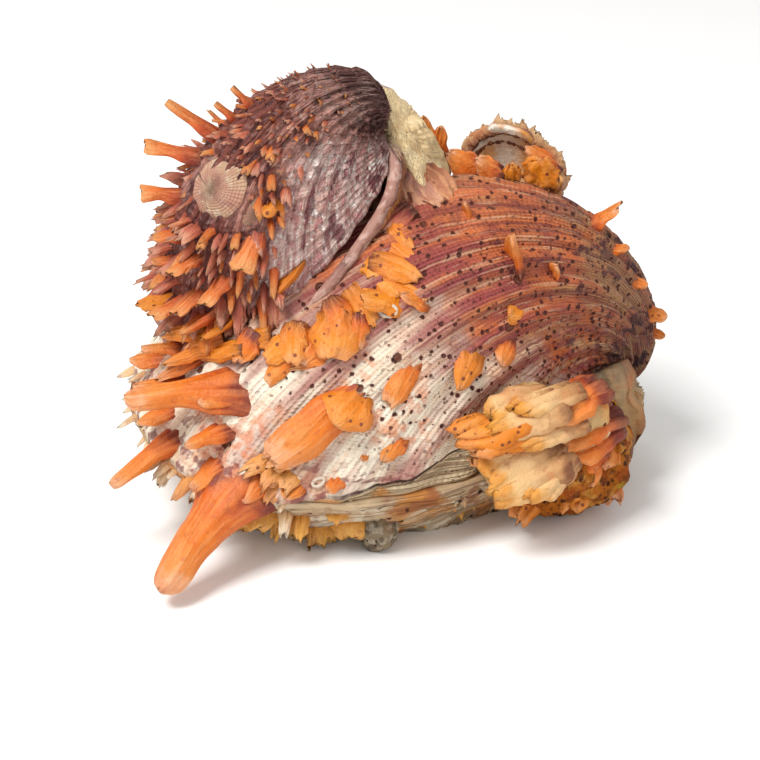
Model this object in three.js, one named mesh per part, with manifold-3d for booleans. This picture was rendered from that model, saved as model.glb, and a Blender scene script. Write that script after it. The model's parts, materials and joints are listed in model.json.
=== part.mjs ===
// A natural cluster of two thorny oysters with the small growths on them.
// Millimetres, +Z up. The cluster rests on the flat scar of the large lower valve at Z = 0.
import * as THREE from 'three';
import { mergeVertices } from 'three/addons/utils/BufferGeometryUtils.js';
import Module from 'manifold-3d';

const wasm = await Module();
wasm.setup();

// ---- driving dimensions -------------------------------------------------------------------
const GAP = 0.5;               // clearance kept between neighbouring pieces
const VALVE_GAP = 0.5;         // half of the slit between two valves of one oyster
const MOST_OVERLAP = 0.002;    // mm3 two bodies may share before one is cut again
const HINGE_OFFSET = 3;        // distance of the margin from the hinge line at its nearest

// A valve is a loop, its margin, swung about the hinge line while it shrinks to the umbo.
// length: hinge to ventral margin; width: across; hinge: half the hinge line; egg: how much
// wider the ventral half is; front: share of the half width kept on the front side; curl: how
// fast the valve shrinks; tall: stretch away from the margin; shoulder: how much the back slopes;
// swing: angle swung; deep: share of the height that is hollow; ribs: broad rib groups and their height;
// side: +1 upper, -1 lower valve; around, rings: facets round the margin and up the valve.
const LARGE_UPPER = {
  length: 132, width: 94, hinge: 8, egg: 0.22, front: 1, curl: 0.8, tall: 1.22, shoulder: 0.05,
  swing: 3, deep: 0.88, ribs: 9, ribHeight: 0.9, side: 1, around: 44, rings: 12,
};
const LARGE_LOWER = {
  length: 133, width: 97, hinge: 18, egg: 0.14, front: 1, curl: 0.8, tall: 0.85, shoulder: 0,
  swing: 2.6, deep: 0.5, ribs: 9, ribHeight: 0.9, side: -1, around: 34, rings: 9,
};
const SMALL_UPPER = {
  length: 76, width: 60, hinge: 6, egg: -0.02, front: 0.72, curl: 0.8, tall: 1.1, shoulder: 0,
  swing: 2.8, deep: 0.86, ribs: 7, ribHeight: 0.7, side: 1, around: 32, rings: 9,
};
const SMALL_LOWER = {
  length: 82, width: 68, hinge: 9, egg: -0.02, front: 0.8, curl: 0.68, tall: 1.1, shoulder: 0,
  swing: 2.5, deep: 0.6, ribs: 7, ribHeight: 0.8, side: -1, around: 28, rings: 8,
};
const BROKEN = {
  length: 28, width: 29, hinge: 5, egg: 0.05, front: 1, curl: 0.9, tall: 0.9, shoulder: 0,
  swing: 2.3, deep: 0.86, ribs: 6, ribHeight: 0.7, side: -1, around: 24, rings: 6,
};
const WALL = 0.1;              // wall of a valve as a share of its half size
const ROOT_DEPTH = 4;          // how far a spine's root goes into the valve

// hinge point, direction from hinge to ventral margin, direction out of the upper valve
const LARGE_POSE = { hinge: [62, 12, 26], ventral: [-0.978, -0.208, 0.025], out: [0, -0.16, 1] };
const SMALL_POSE = { hinge: [-1, 2, 106], ventral: [-0.69, -0.2, -0.69], out: [-0.54, -0.52, 0.66] };
// The small oyster is flattened at its hinge: planes (a point and the way out) that end its valves,
// and the corners of the beige hinge wedge between them with the depth it reaches inward.
const SMALL_UPPER_END = { at: [-3.2, 2, 118.5], out: [0.868, 0.226, 0.443] };
const SMALL_LOWER_END = { at: [1.9, 10, 114.8], out: [0.805, 0.27, 0.529] };
const HINGE_WEDGE = {
  face: [[-3.2, 2.5, 118.3], [7.9, -6, 101.8], [8.6, -8, 94.6], [19.6, 0, 87.1], [9.3, 12, 104.4]],
  inward: [-6, 7, -5],
};
const BROKEN_POSE = { hinge: [31, 27, 69], ventral: [0.38, -0.1, 0.92], out: [-0.25, -0.9, 0.3] };

// Spines: u round the margin (0..1), s growth from umbo (0) to margin (1), tip relative to
// the root, width and thickness at the root and at the tip, and how far it bows outward.
const LARGE_SPINES = [
  { u: 0.42, s: 0.86, tip: [-33, -6, -3], wide: [14, 5], thick: [8, 3.5], bow: 3 },
  { u: 0.44, s: 0.96, tip: [-18, -12, -12], wide: [9, 2.5], thick: [5, 2], bow: 2 },
  { u: 0.375, s: 0.96, tip: [-21, -25, -24], wide: [15, 5.5], thick: [9, 4], bow: 3 },
  { u: 0.33, s: 0.77, tip: [-27, -14, -18], wide: [11, 8], thick: [5, 3], bow: 5 },
  { u: 0.33, s: 0.82, tip: [-6, -8, -6], wide: [11, 9], thick: [3, 2], bow: 3 },
  { u: 0.49, s: 0.88, tip: [-15, -2, 0], wide: [7, 3], thick: [3, 1.5], bow: 1 },
  { u: 0.47, s: 0.92, tip: [-14, -4, -1], wide: [7, 3], thick: [3, 1.5], bow: 1 },
  { u: 0.36, s: 0.48, tip: [-2, -4, 8], wide: [7, 1.5], thick: [3, 1], bow: 0.5 },
  { u: 0.28, s: 0.65, tip: [-3, -7, -7], wide: [8, 2.5], thick: [3, 1.5], bow: 2 },
  { u: 0.32, s: 0.71, tip: [-6, -6, -8], wide: [8, 5], thick: [3, 1.5], bow: 2 },
  { u: 0.44, s: 0.33, tip: [7, 0, 5], wide: [6, 2], thick: [3, 1.5], bow: 0.5 },
  { u: 0.4, s: 0.92, tip: [-9, -6, -2], wide: [6, 2.5], thick: [3, 1.5], bow: 1 },
];
const SMALL_SPINES = [
  { u: 0.58, s: 0.56, tip: [-14, 0, 10], wide: [6, 3], thick: [4, 2], bow: 1 },
  { u: 0.58, s: 0.62, tip: [-16, 0, 4], wide: [6, 6], thick: [3, 1.5], bow: 0.5 },
  { u: 0.57, s: 0.72, tip: [-12, -1, 2], wide: [6, 6], thick: [4, 3], bow: 0.5 },
  { u: 0.51, s: 0.76, tip: [-9, -2, -1], wide: [6, 3], thick: [3, 1.5], bow: 0.5 },
  { u: 0.36, s: 0.69, tip: [-6, -8, -7], wide: [6, 5], thick: [3, 1.5], bow: 1.5 },
  { u: 0.4, s: 0.93, tip: [-10, -6, -4], wide: [7, 4], thick: [3, 1.5], bow: 1.5 },
  { u: 0.3, s: 0.84, tip: [-7, -7, -6], wide: [7, 4], thick: [3, 1.5], bow: 1.5 },
];
// Frills: broad leafy scales round the margins of the lower valves.
const SMALL_FRILLS = [
  { u: 0.22, s: 0.8, tip: [9, -12, -6], wide: [12, 9], thick: [3, 2], bow: 1 },
  { u: 0.28, s: 0.88, tip: [2, -14, -9], wide: [13, 10], thick: [3, 2], bow: 1 },
  { u: 0.35, s: 0.95, tip: [-4, -13, -8], wide: [14, 10], thick: [3, 2], bow: 1 },
  { u: 0.43, s: 0.97, tip: [-9, -9, -5], wide: [11, 8], thick: [3, 2], bow: 1 },
  { u: 0.51, s: 0.95, tip: [-12, -3, -4], wide: [10, 7], thick: [3, 2], bow: 1 },
];
const LARGE_FRILLS = [
  { u: 0.345, s: 0.93, tip: [-3, -6, -4], wide: [15, 13], thick: [4, 2.5], bow: 1 },
  { u: 0.3, s: 0.92, tip: [-1, -6, -5], wide: [15, 13], thick: [4, 2.5], bow: 1 },
  { u: 0.22, s: 0.88, tip: [1, -6, -5], wide: [14, 12], thick: [4, 2.5], bow: 1 },
  { u: 0.42, s: 0.97, tip: [-8, -6, -7], wide: [12, 8], thick: [4, 2.5], bow: 1 },
  { u: 0.52, s: 0.97, tip: [-8, 0, -5], wide: [12, 8], thick: [4, 2.5], bow: 1 },
];

// Jewel-box lump: leafy plates stacked on a core; centre, half sizes, turn about Z, tilt.
const LUMP_CORE = { at: [37, -34, 28], half: [17, 11, 11] };
const LUMP_PLATES = [
  { at: [36, -43, 40], half: [9, 6, 3.5], turn: 10, tilt: 20 },
  { at: [29, -46, 34], half: [10, 5, 2.6], turn: -8, tilt: 14 },
  { at: [36, -47, 24], half: [11, 5, 7], turn: 12, tilt: -12 },
  { at: [51, -38, 33], half: [9, 6, 5], turn: 25, tilt: 10 },
];
// Orange crust: knobs run together, standing on the floor line beside the lump.
const CRUST_KNOBS = [
  { at: [51, -20, 11], half: [11, 11, 12] },
  { at: [57, -13, 13], half: [9, 9, 13] },
  { at: [44, -26, 9], half: [7, 7, 9] },
];
const PEBBLE = { at: [1, -42, 6], half: [4.2, 4, 5] };
const SPAT_DISC = { u: 0.465, s: 0.62, radius: 8.5, height: 3 };
const SPAT_SCALE = { u: 0.355, s: 0.67, radius: 4.6, height: 1.8 };
const WORM_TUBE = { u: 0.38, s: 0.68, coil: 2.2, rise: 1.4, radius: 0.75, turns: 0.8 };
const RING_TUBE = { u: 0.315, s: 0.965, coil: 1.7, radius: 0.6 };

// ---- geometry helpers ---------------------------------------------------------------------
const vec = (p) => new THREE.Vector3(...p);
const lerp = THREE.MathUtils.lerp;

// A closed body through a list of loops of equally many points, capped at both ends.
function loft(loops) {
  const size = loops[0].length;
  const points = loops.flat();
  const index = [];
  for (let j = 0; j + 1 < loops.length; j += 1) {
    for (let i = 0; i < size; i += 1) {
      const a = j * size + i;
      const b = j * size + ((i + 1) % size);
      index.push(a, b, b + size, a, b + size, a + size);
    }
  }
  cap(points, index, 0, size, true);
  cap(points, index, (loops.length - 1) * size, size, false);
  const geometry = new THREE.BufferGeometry().setFromPoints(points);
  geometry.setIndex(index);
  return geometry;
}

function cap(points, index, start, size, first) {
  const middle = new THREE.Vector3();
  for (let i = 0; i < size; i += 1) middle.addScaledVector(points[start + i], 1 / size);
  points.push(middle);
  for (let i = 0; i < size; i += 1) {
    const a = start + i;
    const b = start + ((i + 1) % size);
    if (first) index.push(b, a, points.length - 1);
    else index.push(a, b, points.length - 1);
  }
}

function welded(geometry) {
  const bare = geometry.clone();
  bare.deleteAttribute('normal');
  bare.deleteAttribute('uv');
  return mergeVertices(bare, 1e-4);
}

function signedVolume(geometry) {
  const p = geometry.attributes.position;
  const [a, b, c] = [new THREE.Vector3(), new THREE.Vector3(), new THREE.Vector3()];
  let volume = 0;
  for (let i = 0; i < geometry.index.count; i += 3) {
    a.fromBufferAttribute(p, geometry.index.getX(i));
    b.fromBufferAttribute(p, geometry.index.getX(i + 1));
    c.fromBufferAttribute(p, geometry.index.getX(i + 2));
    volume += a.dot(b.cross(c)) / 6;
  }
  return volume;
}

function solid(geometry) {
  const mesh = welded(geometry);
  const index = Uint32Array.from(mesh.index.array);
  if (signedVolume(mesh) < 0) {
    for (let i = 0; i < index.length; i += 3) {
      const keep = index[i + 1];
      index[i + 1] = index[i + 2];
      index[i + 2] = keep;
    }
  }
  const vertices = Float32Array.from(mesh.attributes.position.array);
  return new wasm.Manifold(new wasm.Mesh({ numProp: 3, vertProperties: vertices, triVerts: index }));
}

function toGeometry(manifold) {
  const mesh = manifold.getMesh();
  const geometry = new THREE.BufferGeometry();
  const positions = new THREE.BufferAttribute(Float32Array.from(mesh.vertProperties), 3);
  geometry.setAttribute('position', positions);
  geometry.setIndex(Array.from(mesh.triVerts));
  return geometry;
}

// The same body with every point moved outward, used to cut clearance into a neighbour.
function grown(manifold, distance) {
  const geometry = mergeVertices(toGeometry(manifold), 1e-4);
  geometry.computeVertexNormals();
  const p = geometry.attributes.position;
  const n = geometry.attributes.normal;
  for (let i = 0; i < p.count; i += 1) {
    p.setXYZ(i, p.getX(i) + n.getX(i) * distance, p.getY(i) + n.getY(i) * distance,
      p.getZ(i) + n.getZ(i) * distance);
  }
  return solid(geometry);
}

function largestPiece(manifold) {
  const pieces = manifold.decompose();
  return pieces.reduce((best, piece) => (piece.volume() > best.volume() ? piece : best));
}

// ---- valves -------------------------------------------------------------------------------
function poseMatrix(pose) {
  const ventral = vec(pose.ventral).normalize();
  const across = ventral.clone().cross(vec(pose.out)).normalize();
  const out = across.clone().cross(ventral);
  return new THREE.Matrix4().makeBasis(across, ventral, out).setPosition(vec(pose.hinge));
}

function marginPoint(u, valve) {
  const turn = (u * 2 - 1) * Math.PI;
  const c = Math.cos(turn);
  const s = Math.sin(turn);
  const along = HINGE_OFFSET + (valve.length - HINGE_OFFSET) * (1 + c) / 2;
  const near = Math.max(0, 1 - along / (0.35 * valve.length)) ** 2;
  const share = turn < 0 ? valve.front : 1;
  const half = valve.width / 2 * share * Math.sign(s) * Math.abs(s) ** 0.9 * (1 + valve.egg * c);
  return [half + Math.sign(turn) * valve.hinge * near, along];
}

// A point of the valve before it is posed; ribs swell the surface away from the hinge line.
function valvePoint(u, s, valve) {
  const swing = Math.min(-Math.log(s) / valve.curl, valve.swing);
  const [x, along] = marginPoint(u, valve);
  const swell = valve.ribHeight * Math.cos(2 * Math.PI * valve.ribs * (u - 0.5)) * Math.sqrt(s);
  const slope = valve.shoulder * Math.max(0, Math.sin(1.6 * (swing - 0.9)));
  const reach = (s * along + swell * (along / valve.length)) * (1 - slope);
  const rise = reach * Math.sin(swing) * valve.tall + VALVE_GAP;
  return new THREE.Vector3(s * x, reach * Math.cos(swing), rise * valve.side);
}

function valveBody(valve) {
  const smallest = Math.exp(-valve.curl * valve.swing);
  const loops = [];
  for (let j = 0; j <= valve.rings; j += 1) {
    const s = Math.exp(-valve.curl * valve.swing * (j / valve.rings));
    const loop = [];
    for (let i = 0; i < valve.around; i += 1) {
      loop.push(valvePoint((i + 0.5) / valve.around, Math.max(s, smallest), valve));
    }
    loops.push(loop);
  }
  return loft(loops);
}

// The hollow is the valve's own form made smaller about the middle of its margin plane.
function hollowBody(valve) {
  const plain = { ...valve, ribHeight: 0, around: 20, rings: 5, swing: Math.min(valve.swing, 2.3) };
  const keep = 1 - WALL;
  const middle = 0.5 * valve.length;
  const body = valveBody(plain);
  body.translate(0, -middle, 0);
  body.scale(keep, keep, valve.deep);
  body.translate(0, middle, -valve.side * (WALL * valve.length * 0.05 + 1));
  return body;
}

function surfaceAt(u, s, valve, matrix) {
  const step = 0.01;
  const here = valvePoint(u, s, valve).applyMatrix4(matrix);
  const du = valvePoint(u + step, s, valve).applyMatrix4(matrix).sub(here);
  const ds = valvePoint(u, s - step, valve).applyMatrix4(matrix).sub(here);
  const along = du.clone().normalize();
  const normal = du.cross(ds).normalize().multiplyScalar(-valve.side);
  return { here, normal, along };
}

// A flat-sided spine or frill rooted in a valve: quadratic bow, six-sided, narrowing outward.
function spineBody(spine, valve, matrix) {
  const { here, normal, along: rim } = surfaceAt(spine.u, spine.s, valve, matrix);
  const root = here.clone().addScaledVector(normal, -ROOT_DEPTH);
  const tip = here.clone().add(vec(spine.tip));
  const middle = here.clone().lerp(tip, 0.5).addScaledVector(normal, spine.bow);
  const curve = new THREE.QuadraticBezierCurve3(root, middle, tip);
  const loops = [];
  const steps = 3;
  for (let j = 0; j <= steps; j += 1) {
    const t = j / steps;
    const along = curve.getTangent(t);
    const side = rim.clone().addScaledVector(along, -rim.dot(along)).normalize();
    const up = side.clone().cross(along).normalize();
    const round = j === steps ? 0.6 : 1;
    const w = lerp(spine.wide[0], spine.wide[1], t) / 2 * round;
    const h = lerp(spine.thick[0], spine.thick[1], t) / 2 * round;
    loops.push(flatLoop(curve.getPoint(t), side, up, w, h));
  }
  return loft(loops);
}

function flatLoop(centre, side, up, w, h) {
  const loop = [];
  for (let i = 0; i < 6; i += 1) {
    const turn = i * Math.PI / 3;
    const point = centre.clone().addScaledVector(side, w * Math.cos(turn));
    loop.push(point.addScaledVector(up, h * Math.sin(turn)));
  }
  return loop;
}

function valveSolid(valve, pose, spines) {
  const matrix = poseMatrix(pose);
  const body = solid(valveBody(valve).applyMatrix4(matrix));
  const hollow = solid(hollowBody(valve).applyMatrix4(matrix));
  let whole = body;
  for (const spine of spines) whole = whole.add(solid(spineBody(spine, valve, matrix)));
  return whole.subtract(hollow);
}

function endedAt(body, { at, out }) {
  const plane = vec(out).normalize();
  const offset = plane.dot(vec(at));
  return body.trimByPlane([-plane.x, -plane.y, -plane.z], -offset);
}

function wedgeSolid({ face, inward }) {
  const outer = face.map(vec);
  const inner = outer.map((point) => point.clone().add(vec(inward)));
  return solid(loft([outer, inner]));
}

function smallLowerSolid() {
  const valve = endedAt(valveSolid(SMALL_LOWER, SMALL_POSE, SMALL_FRILLS), SMALL_LOWER_END);
  return valve.add(wedgeSolid(HINGE_WEDGE));
}

// ---- growths ------------------------------------------------------------------------------
// A knobbly lump: a sphere stretched to its half sizes, with low swellings.
function knob({ at, half, turn = 0, tilt = 0 }, detail = 1) {
  const ball = new THREE.IcosahedronGeometry(1, detail);
  const p = ball.attributes.position;
  for (let i = 0; i < p.count; i += 1) {
    const [x, y, z] = [p.getX(i), p.getY(i), p.getZ(i)];
    const swell = 1 + 0.06 * Math.sin(5 * x + 3 * y) + 0.06 * Math.cos(4 * z - 4 * y);
    p.setXYZ(i, x * half[0] * swell, y * half[1] * swell, z * half[2] * swell);
  }
  ball.rotateX(THREE.MathUtils.degToRad(tilt));
  ball.rotateZ(THREE.MathUtils.degToRad(turn));
  return ball.translate(...at);
}

function joined(bodies) {
  return bodies.map(solid).reduce((whole, body) => whole.add(body));
}

// Turns a body standing on the XY plane to stand on the valve instead.
function plantedOn(geometry, place, valve, pose) {
  const { here, normal } = surfaceAt(place.u, place.s, valve, poseMatrix(pose));
  const turn = new THREE.Quaternion().setFromUnitVectors(new THREE.Vector3(0, 0, 1), normal);
  return geometry.applyQuaternion(turn).translate(here.x, here.y, here.z);
}

// A limpet-like young shell: a low cone with a rounded edge, closed underneath.
function spatGeometry({ radius, height }) {
  const under = -1.2 * height;
  const profile = [[0, under], [radius * 0.9, under], [radius, 0], [radius * 0.8, height * 0.55],
    [radius * 0.35, height * 0.95], [0, height]];
  const points = profile.map(([x, y]) => new THREE.Vector2(x, y));
  return new THREE.LatheGeometry(points, 16).rotateX(Math.PI / 2);
}

function wormTubeGeometry({ coil, rise, radius, turns }) {
  const points = [];
  for (let i = 0; i <= 10; i += 1) {
    const turn = 2 * Math.PI * turns * i / 10;
    const reach = coil * (1 - 0.35 * i / 10);
    points.push(new THREE.Vector3(reach * Math.cos(turn), reach * Math.sin(turn),
      radius * 0.4 + rise * i / 10));
  }
  const section = new THREE.Shape();
  section.absarc(0, 0, radius, 0, 2 * Math.PI);
  const path = new THREE.CatmullRomCurve3(points);
  const cut = { steps: 16, extrudePath: path, bevelEnabled: false, curveSegments: 3 };
  return new THREE.ExtrudeGeometry(section, cut);
}

// ---- the cluster --------------------------------------------------------------------------
function belowFloor() {
  const deep = 60;
  return solid(new THREE.BoxGeometry(400, 400, deep).translate(0, 0, -deep / 2));
}

function buildSolids() {
  const made = {};
  made.large_upper_valve = valveSolid(LARGE_UPPER, LARGE_POSE, LARGE_SPINES);
  const keepOff = [grown(made.large_upper_valve, GAP)];
  const fit = (name, body) => {
    let rest = keepOff.reduce((left, other) => left.subtract(other), body);
    for (const other of Object.values(made)) {
      if (rest.intersect(other).volume() > MOST_OVERLAP) rest = rest.subtract(other);
    }
    made[name] = largestPiece(rest);
    keepOff.push(grown(made[name], GAP));
  };
  fit('large_lower_valve', valveSolid(LARGE_LOWER, LARGE_POSE, LARGE_FRILLS).subtract(belowFloor()));
  fit('small_upper_valve',
    endedAt(valveSolid(SMALL_UPPER, SMALL_POSE, SMALL_SPINES), SMALL_UPPER_END));
  fit('small_lower_valve', smallLowerSolid());
  fit('broken_valve', valveSolid(BROKEN, BROKEN_POSE, []));
  fit('frilled_lump', joined([knob(LUMP_CORE), ...LUMP_PLATES.map((plate) => knob(plate))])
    .subtract(belowFloor()));
  fit('orange_crust', joined(CRUST_KNOBS.map((part) => knob(part))).subtract(belowFloor()));
  fit('gritty_pebble', solid(knob(PEBBLE, 1)));
  const onSmall = (shape, place) => solid(plantedOn(shape, place, SMALL_UPPER, SMALL_POSE));
  const onLarge = (shape, place) => solid(plantedOn(shape, place, LARGE_UPPER, LARGE_POSE));
  fit('spat_disc', onSmall(spatGeometry(SPAT_DISC), SPAT_DISC));
  fit('spat_scale', onSmall(spatGeometry(SPAT_SCALE), SPAT_SCALE));
  fit('worm_tube', onLarge(wormTubeGeometry(WORM_TUBE), WORM_TUBE));
  const ring = new THREE.TorusGeometry(RING_TUBE.coil, RING_TUBE.radius, 5, 12);
  fit('ring_tube', onLarge(ring.translate(0, 0, RING_TUBE.radius * 0.5), RING_TUBE));
  return made;
}

const COLOURS = {
  large_upper_valve: '#b5694a', large_lower_valve: '#cdbb98', small_upper_valve: '#6e3a38',
  small_lower_valve: '#c0a58f', broken_valve: '#d8c3a6', frilled_lump: '#e0b27c',
  orange_crust: '#cf8422', gritty_pebble: '#6f6c66', spat_disc: '#cbb093',
  spat_scale: '#d2bda6', worm_tube: '#e6dccb', ring_tube: '#ddd3c2',
};

function build() {
  const group = new THREE.Group();
  for (const [name, body] of Object.entries(buildSolids())) {
    const finish = new THREE.MeshStandardMaterial({ color: COLOURS[name], roughness: 0.7 });
    const mesh = new THREE.Mesh(toGeometry(body), finish);
    mesh.name = name;
    group.add(mesh);
  }
  return group;
}

export default build();
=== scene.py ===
"""Looks for a natural cluster of two thorny oysters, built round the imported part."""

import json
import math

import bmesh
import bpy
import numpy as np
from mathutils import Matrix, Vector

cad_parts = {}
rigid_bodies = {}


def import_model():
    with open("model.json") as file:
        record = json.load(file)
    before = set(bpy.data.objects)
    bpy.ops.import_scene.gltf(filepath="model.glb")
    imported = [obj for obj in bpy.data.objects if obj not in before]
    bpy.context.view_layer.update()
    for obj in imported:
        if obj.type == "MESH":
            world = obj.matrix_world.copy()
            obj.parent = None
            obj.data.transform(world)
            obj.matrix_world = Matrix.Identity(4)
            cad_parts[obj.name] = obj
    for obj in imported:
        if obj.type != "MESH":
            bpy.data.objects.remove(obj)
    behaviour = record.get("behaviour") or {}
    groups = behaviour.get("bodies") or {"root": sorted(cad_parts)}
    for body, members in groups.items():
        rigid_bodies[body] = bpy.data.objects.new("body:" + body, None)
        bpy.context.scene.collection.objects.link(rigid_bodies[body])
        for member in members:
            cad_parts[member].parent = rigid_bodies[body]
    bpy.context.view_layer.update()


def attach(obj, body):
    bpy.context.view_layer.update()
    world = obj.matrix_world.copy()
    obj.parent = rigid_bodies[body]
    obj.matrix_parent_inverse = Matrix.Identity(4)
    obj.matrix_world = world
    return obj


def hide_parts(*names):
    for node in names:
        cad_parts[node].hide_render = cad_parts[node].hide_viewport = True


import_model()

bl_info = {
    "name": "Thorny Oyster Cluster",
    "version": (1, 0, 0),
    "blender": (4, 5, 0),
    "location": "View3D > Sidebar > Oyster",
    "description": "Builds a cluster of two thorny oysters with their spines and growths",
    "category": "Add Mesh",
}

MM = 0.001                     # model lengths below are in millimetres
VALVE_GAP = 0.5                # half of the slit between two valves of one oyster
HINGE_OFFSET = 3.0             # distance of the margin from the hinge line at its nearest
SEED = 11
SCAR_HEIGHT = 1.3              # what is lower than this on the lower valve is its flat scar
LEAF_SHAPES = 6                # kinds of scale that the scatter tree picks from

# ---- growth of the valves -----------------------------------------------------------------
# A valve is a margin loop swung about the hinge line while it shrinks to the umbo.
LARGE_UPPER = dict(length=132, width=94, hinge=8, egg=0.22, front=1, curl=0.8, tall=1.22,
                   shoulder=0.05, swing=3.0, deep=0.88, side=1)
LARGE_LOWER = dict(length=133, width=97, hinge=18, egg=0.14, front=1, curl=0.8, tall=0.85,
                   shoulder=0, swing=2.6, deep=0.5, side=-1)
SMALL_UPPER = dict(length=76, width=60, hinge=6, egg=-0.02, front=0.72, curl=0.8, tall=1.1,
                   shoulder=0, swing=2.8, deep=0.86, side=1)
SMALL_LOWER = dict(length=82, width=68, hinge=9, egg=-0.02, front=0.8, curl=0.68, tall=1.1,
                   shoulder=0, swing=2.5, deep=0.6, side=-1)
BROKEN = dict(length=28, width=29, hinge=5, egg=0.05, front=1, curl=0.9, tall=0.9,
              shoulder=0, swing=2.3, deep=0.86, side=-1)

# hinge point, direction from hinge to ventral margin, direction out of the upper valve
LARGE_POSE = ((62, 12, 26), (-0.978, -0.208, 0.025), (0, -0.16, 1))
SMALL_POSE = ((-1, 2, 106), (-0.69, -0.2, -0.69), (-0.54, -0.52, 0.66))
# the small oyster is flattened at its hinge: a point and the way out of each valve's end plane
SMALL_UPPER_END = ((-3.2, 2, 118.5), (0.868, 0.226, 0.443))
SMALL_LOWER_END = ((1.9, 10, 114.8), (0.805, 0.27, 0.529))
# where the large upper valve's lip crosses its ribs (rib, growth), and how deep it overhangs
LIP_LINE = ((0.0, 0.075, 0.128, 0.18, 0.212, 0.24, 0.255, 0.286, 0.33),
            (0.2, 0.52, 0.72, 0.83, 0.87, 0.93, 0.96, 0.985, 1.0))
LIP_STEP = 1.1
# front and back edge of the hinge wedge: how far along each corner is, and the corners
HINGE_EDGES = (
    ((0, 0.45, 1), ((-3.4, 2.2, 118.6), (7.4, -6.4, 101.8), (12.0, -8.0, 89.5))),
    ((0, 0.3, 0.6, 1), ((-2.6, 3.0, 118.8), (3.4, 9.0, 113.3), (10.5, 11.0, 104.0),
                        (20.0, 1.0, 87.2))),
)
BROKEN_POSE = ((31, 27, 69), (0.38, -0.1, 0.92), (-0.25, -0.9, 0.3))
# the way the large valve faces under the small oyster, which its frills lie along
VALVE_NORMAL = (-0.1, -0.55, 0.83)
# the relief of thick plates roughened by weather and by what grew on them
CRAGGY = dict(lump=(0.0013, 0.003), grit=0.0009, pit=(0.007, 0.0007, 0.0008))


def pose_frame(pose):
    """The three directions of a posed valve as columns, and its hinge point."""
    hinge, ventral, out = (np.array(p, float) for p in pose)
    ventral /= np.linalg.norm(ventral)
    across = np.cross(ventral, out)
    across /= np.linalg.norm(across)
    return np.stack([across, ventral, np.cross(across, ventral)], 1), hinge


def margin(u, valve):
    """Half width and distance from the hinge of the margin at rib coordinate u, 0 to 1."""
    turn = (u * 2 - 1) * np.pi
    c, s = np.cos(turn), np.sin(turn)
    along = HINGE_OFFSET + (valve["length"] - HINGE_OFFSET) * (1 + c) / 2
    near = np.maximum(0, 1 - along / (0.35 * valve["length"])) ** 2
    share = np.where(turn < 0, valve["front"], 1.0)
    half = valve["width"] / 2 * share * np.sign(s) * np.abs(s) ** 0.9 * (1 + valve["egg"] * c)
    return half + np.sign(turn) * valve["hinge"] * near, along


def grow(u, s, valve, pose, shrink=0.0):
    """Posed points of a valve at rib coordinate u and growth s; shrink makes the hollow."""
    swing = np.minimum(-np.log(np.maximum(s, 1e-6)) / valve["curl"], valve["swing"])
    x, along = margin(u, valve)
    slope = valve["shoulder"] * np.maximum(0, np.sin(1.6 * (swing - 0.9)))
    reach = s * along * (1 - slope)
    rise = (reach * np.sin(swing) * valve["tall"] + VALVE_GAP) * valve["side"]
    local = np.stack([s * x, reach * np.cos(swing), rise], -1)
    if shrink:
        middle = 0.5 * valve["length"]
        deep = 1 - (1 - valve["deep"]) * shrink / 0.1
        local = local * np.array([1 - shrink, 1 - shrink, deep])
        local[..., 1] += middle * shrink
    axes, hinge = pose_frame(pose)
    return local @ axes.T + hinge


def surface_at(u, s, valve, pose):
    """Point, outward normal, direction along the rim and direction of growth."""
    step = 0.004
    here = grow(np.array(u), np.array(s), valve, pose)
    rim = grow(np.array(u + step), np.array(s), valve, pose) - here
    older = grow(np.array(u), np.array(s - step), valve, pose) - here
    normal = np.cross(rim, older) * -valve["side"]
    return (here, normal / np.linalg.norm(normal), rim / np.linalg.norm(rim),
            -older / np.linalg.norm(older))


# ---- mesh making --------------------------------------------------------------------------
def loft_faces(loops, size):
    """Quads through loops of size points, and a fan at each end to one extra point."""
    i = np.arange(size)
    j = np.arange(loops - 1)[:, None]
    a = j * size + i
    b = j * size + (i + 1) % size
    faces = np.stack([a, b, b + size, a + size], -1).reshape(-1, 4).tolist()
    first, last = loops * size, loops * size + 1
    end = (loops - 1) * size
    for k in range(size):
        faces.append([(k + 1) % size, k, first])
        faces.append([end + k, end + (k + 1) % size, last])
    return faces


def lofted(points, marks):
    """points (loops, size, 3) and marks {name: (loops, size)} made one closed part."""
    loops, size = points.shape[:2]
    ends = np.stack([points[0].mean(0), points[-1].mean(0)])
    made = {k: np.concatenate([m.reshape(-1), [m[0].mean(), m[-1].mean()]])
            for k, m in marks.items()}
    return np.concatenate([points.reshape(-1, 3), ends]), loft_faces(loops, size), made


def joined(parts):
    """Several (points, faces, marks) as one."""
    points, faces, marks, offset = [], [], {}, 0
    for p, f, m in parts:
        points.append(p)
        faces.extend([[v + offset for v in face] for face in f])
        for key, value in m.items():
            marks.setdefault(key, []).append(value)
        offset += len(p)
    return np.concatenate(points), faces, {k: np.concatenate(v) for k, v in marks.items()}


def make_object(name, part):
    """A smooth-shaded object from points in millimetres, with its float attributes."""
    points, faces, marks = part
    mesh = bpy.data.meshes.new(name)
    mesh.from_pydata((points * MM).tolist(), [], faces)
    for key, value in marks.items():
        mesh.attributes.new(key, "FLOAT", "POINT").data.foreach_set(
            "value", np.ascontiguousarray(value, np.float32))
    face_outward(mesh)
    mesh.shade_smooth()
    made = bpy.data.objects.new(name, mesh)
    bpy.context.scene.collection.objects.link(made)
    return made


def face_outward(mesh):
    """Turns every shell of the mesh so that its faces point out."""
    work = bmesh.new()
    work.from_mesh(mesh)
    bmesh.ops.recalc_face_normals(work, faces=work.faces)
    work.to_mesh(mesh)
    work.free()


def settle(made, material, node):
    """Gives a finished piece its material and its place in the frame."""
    made.data.materials.clear()
    made.data.materials.append(material)
    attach(made, "root")
    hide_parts(node)


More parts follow.
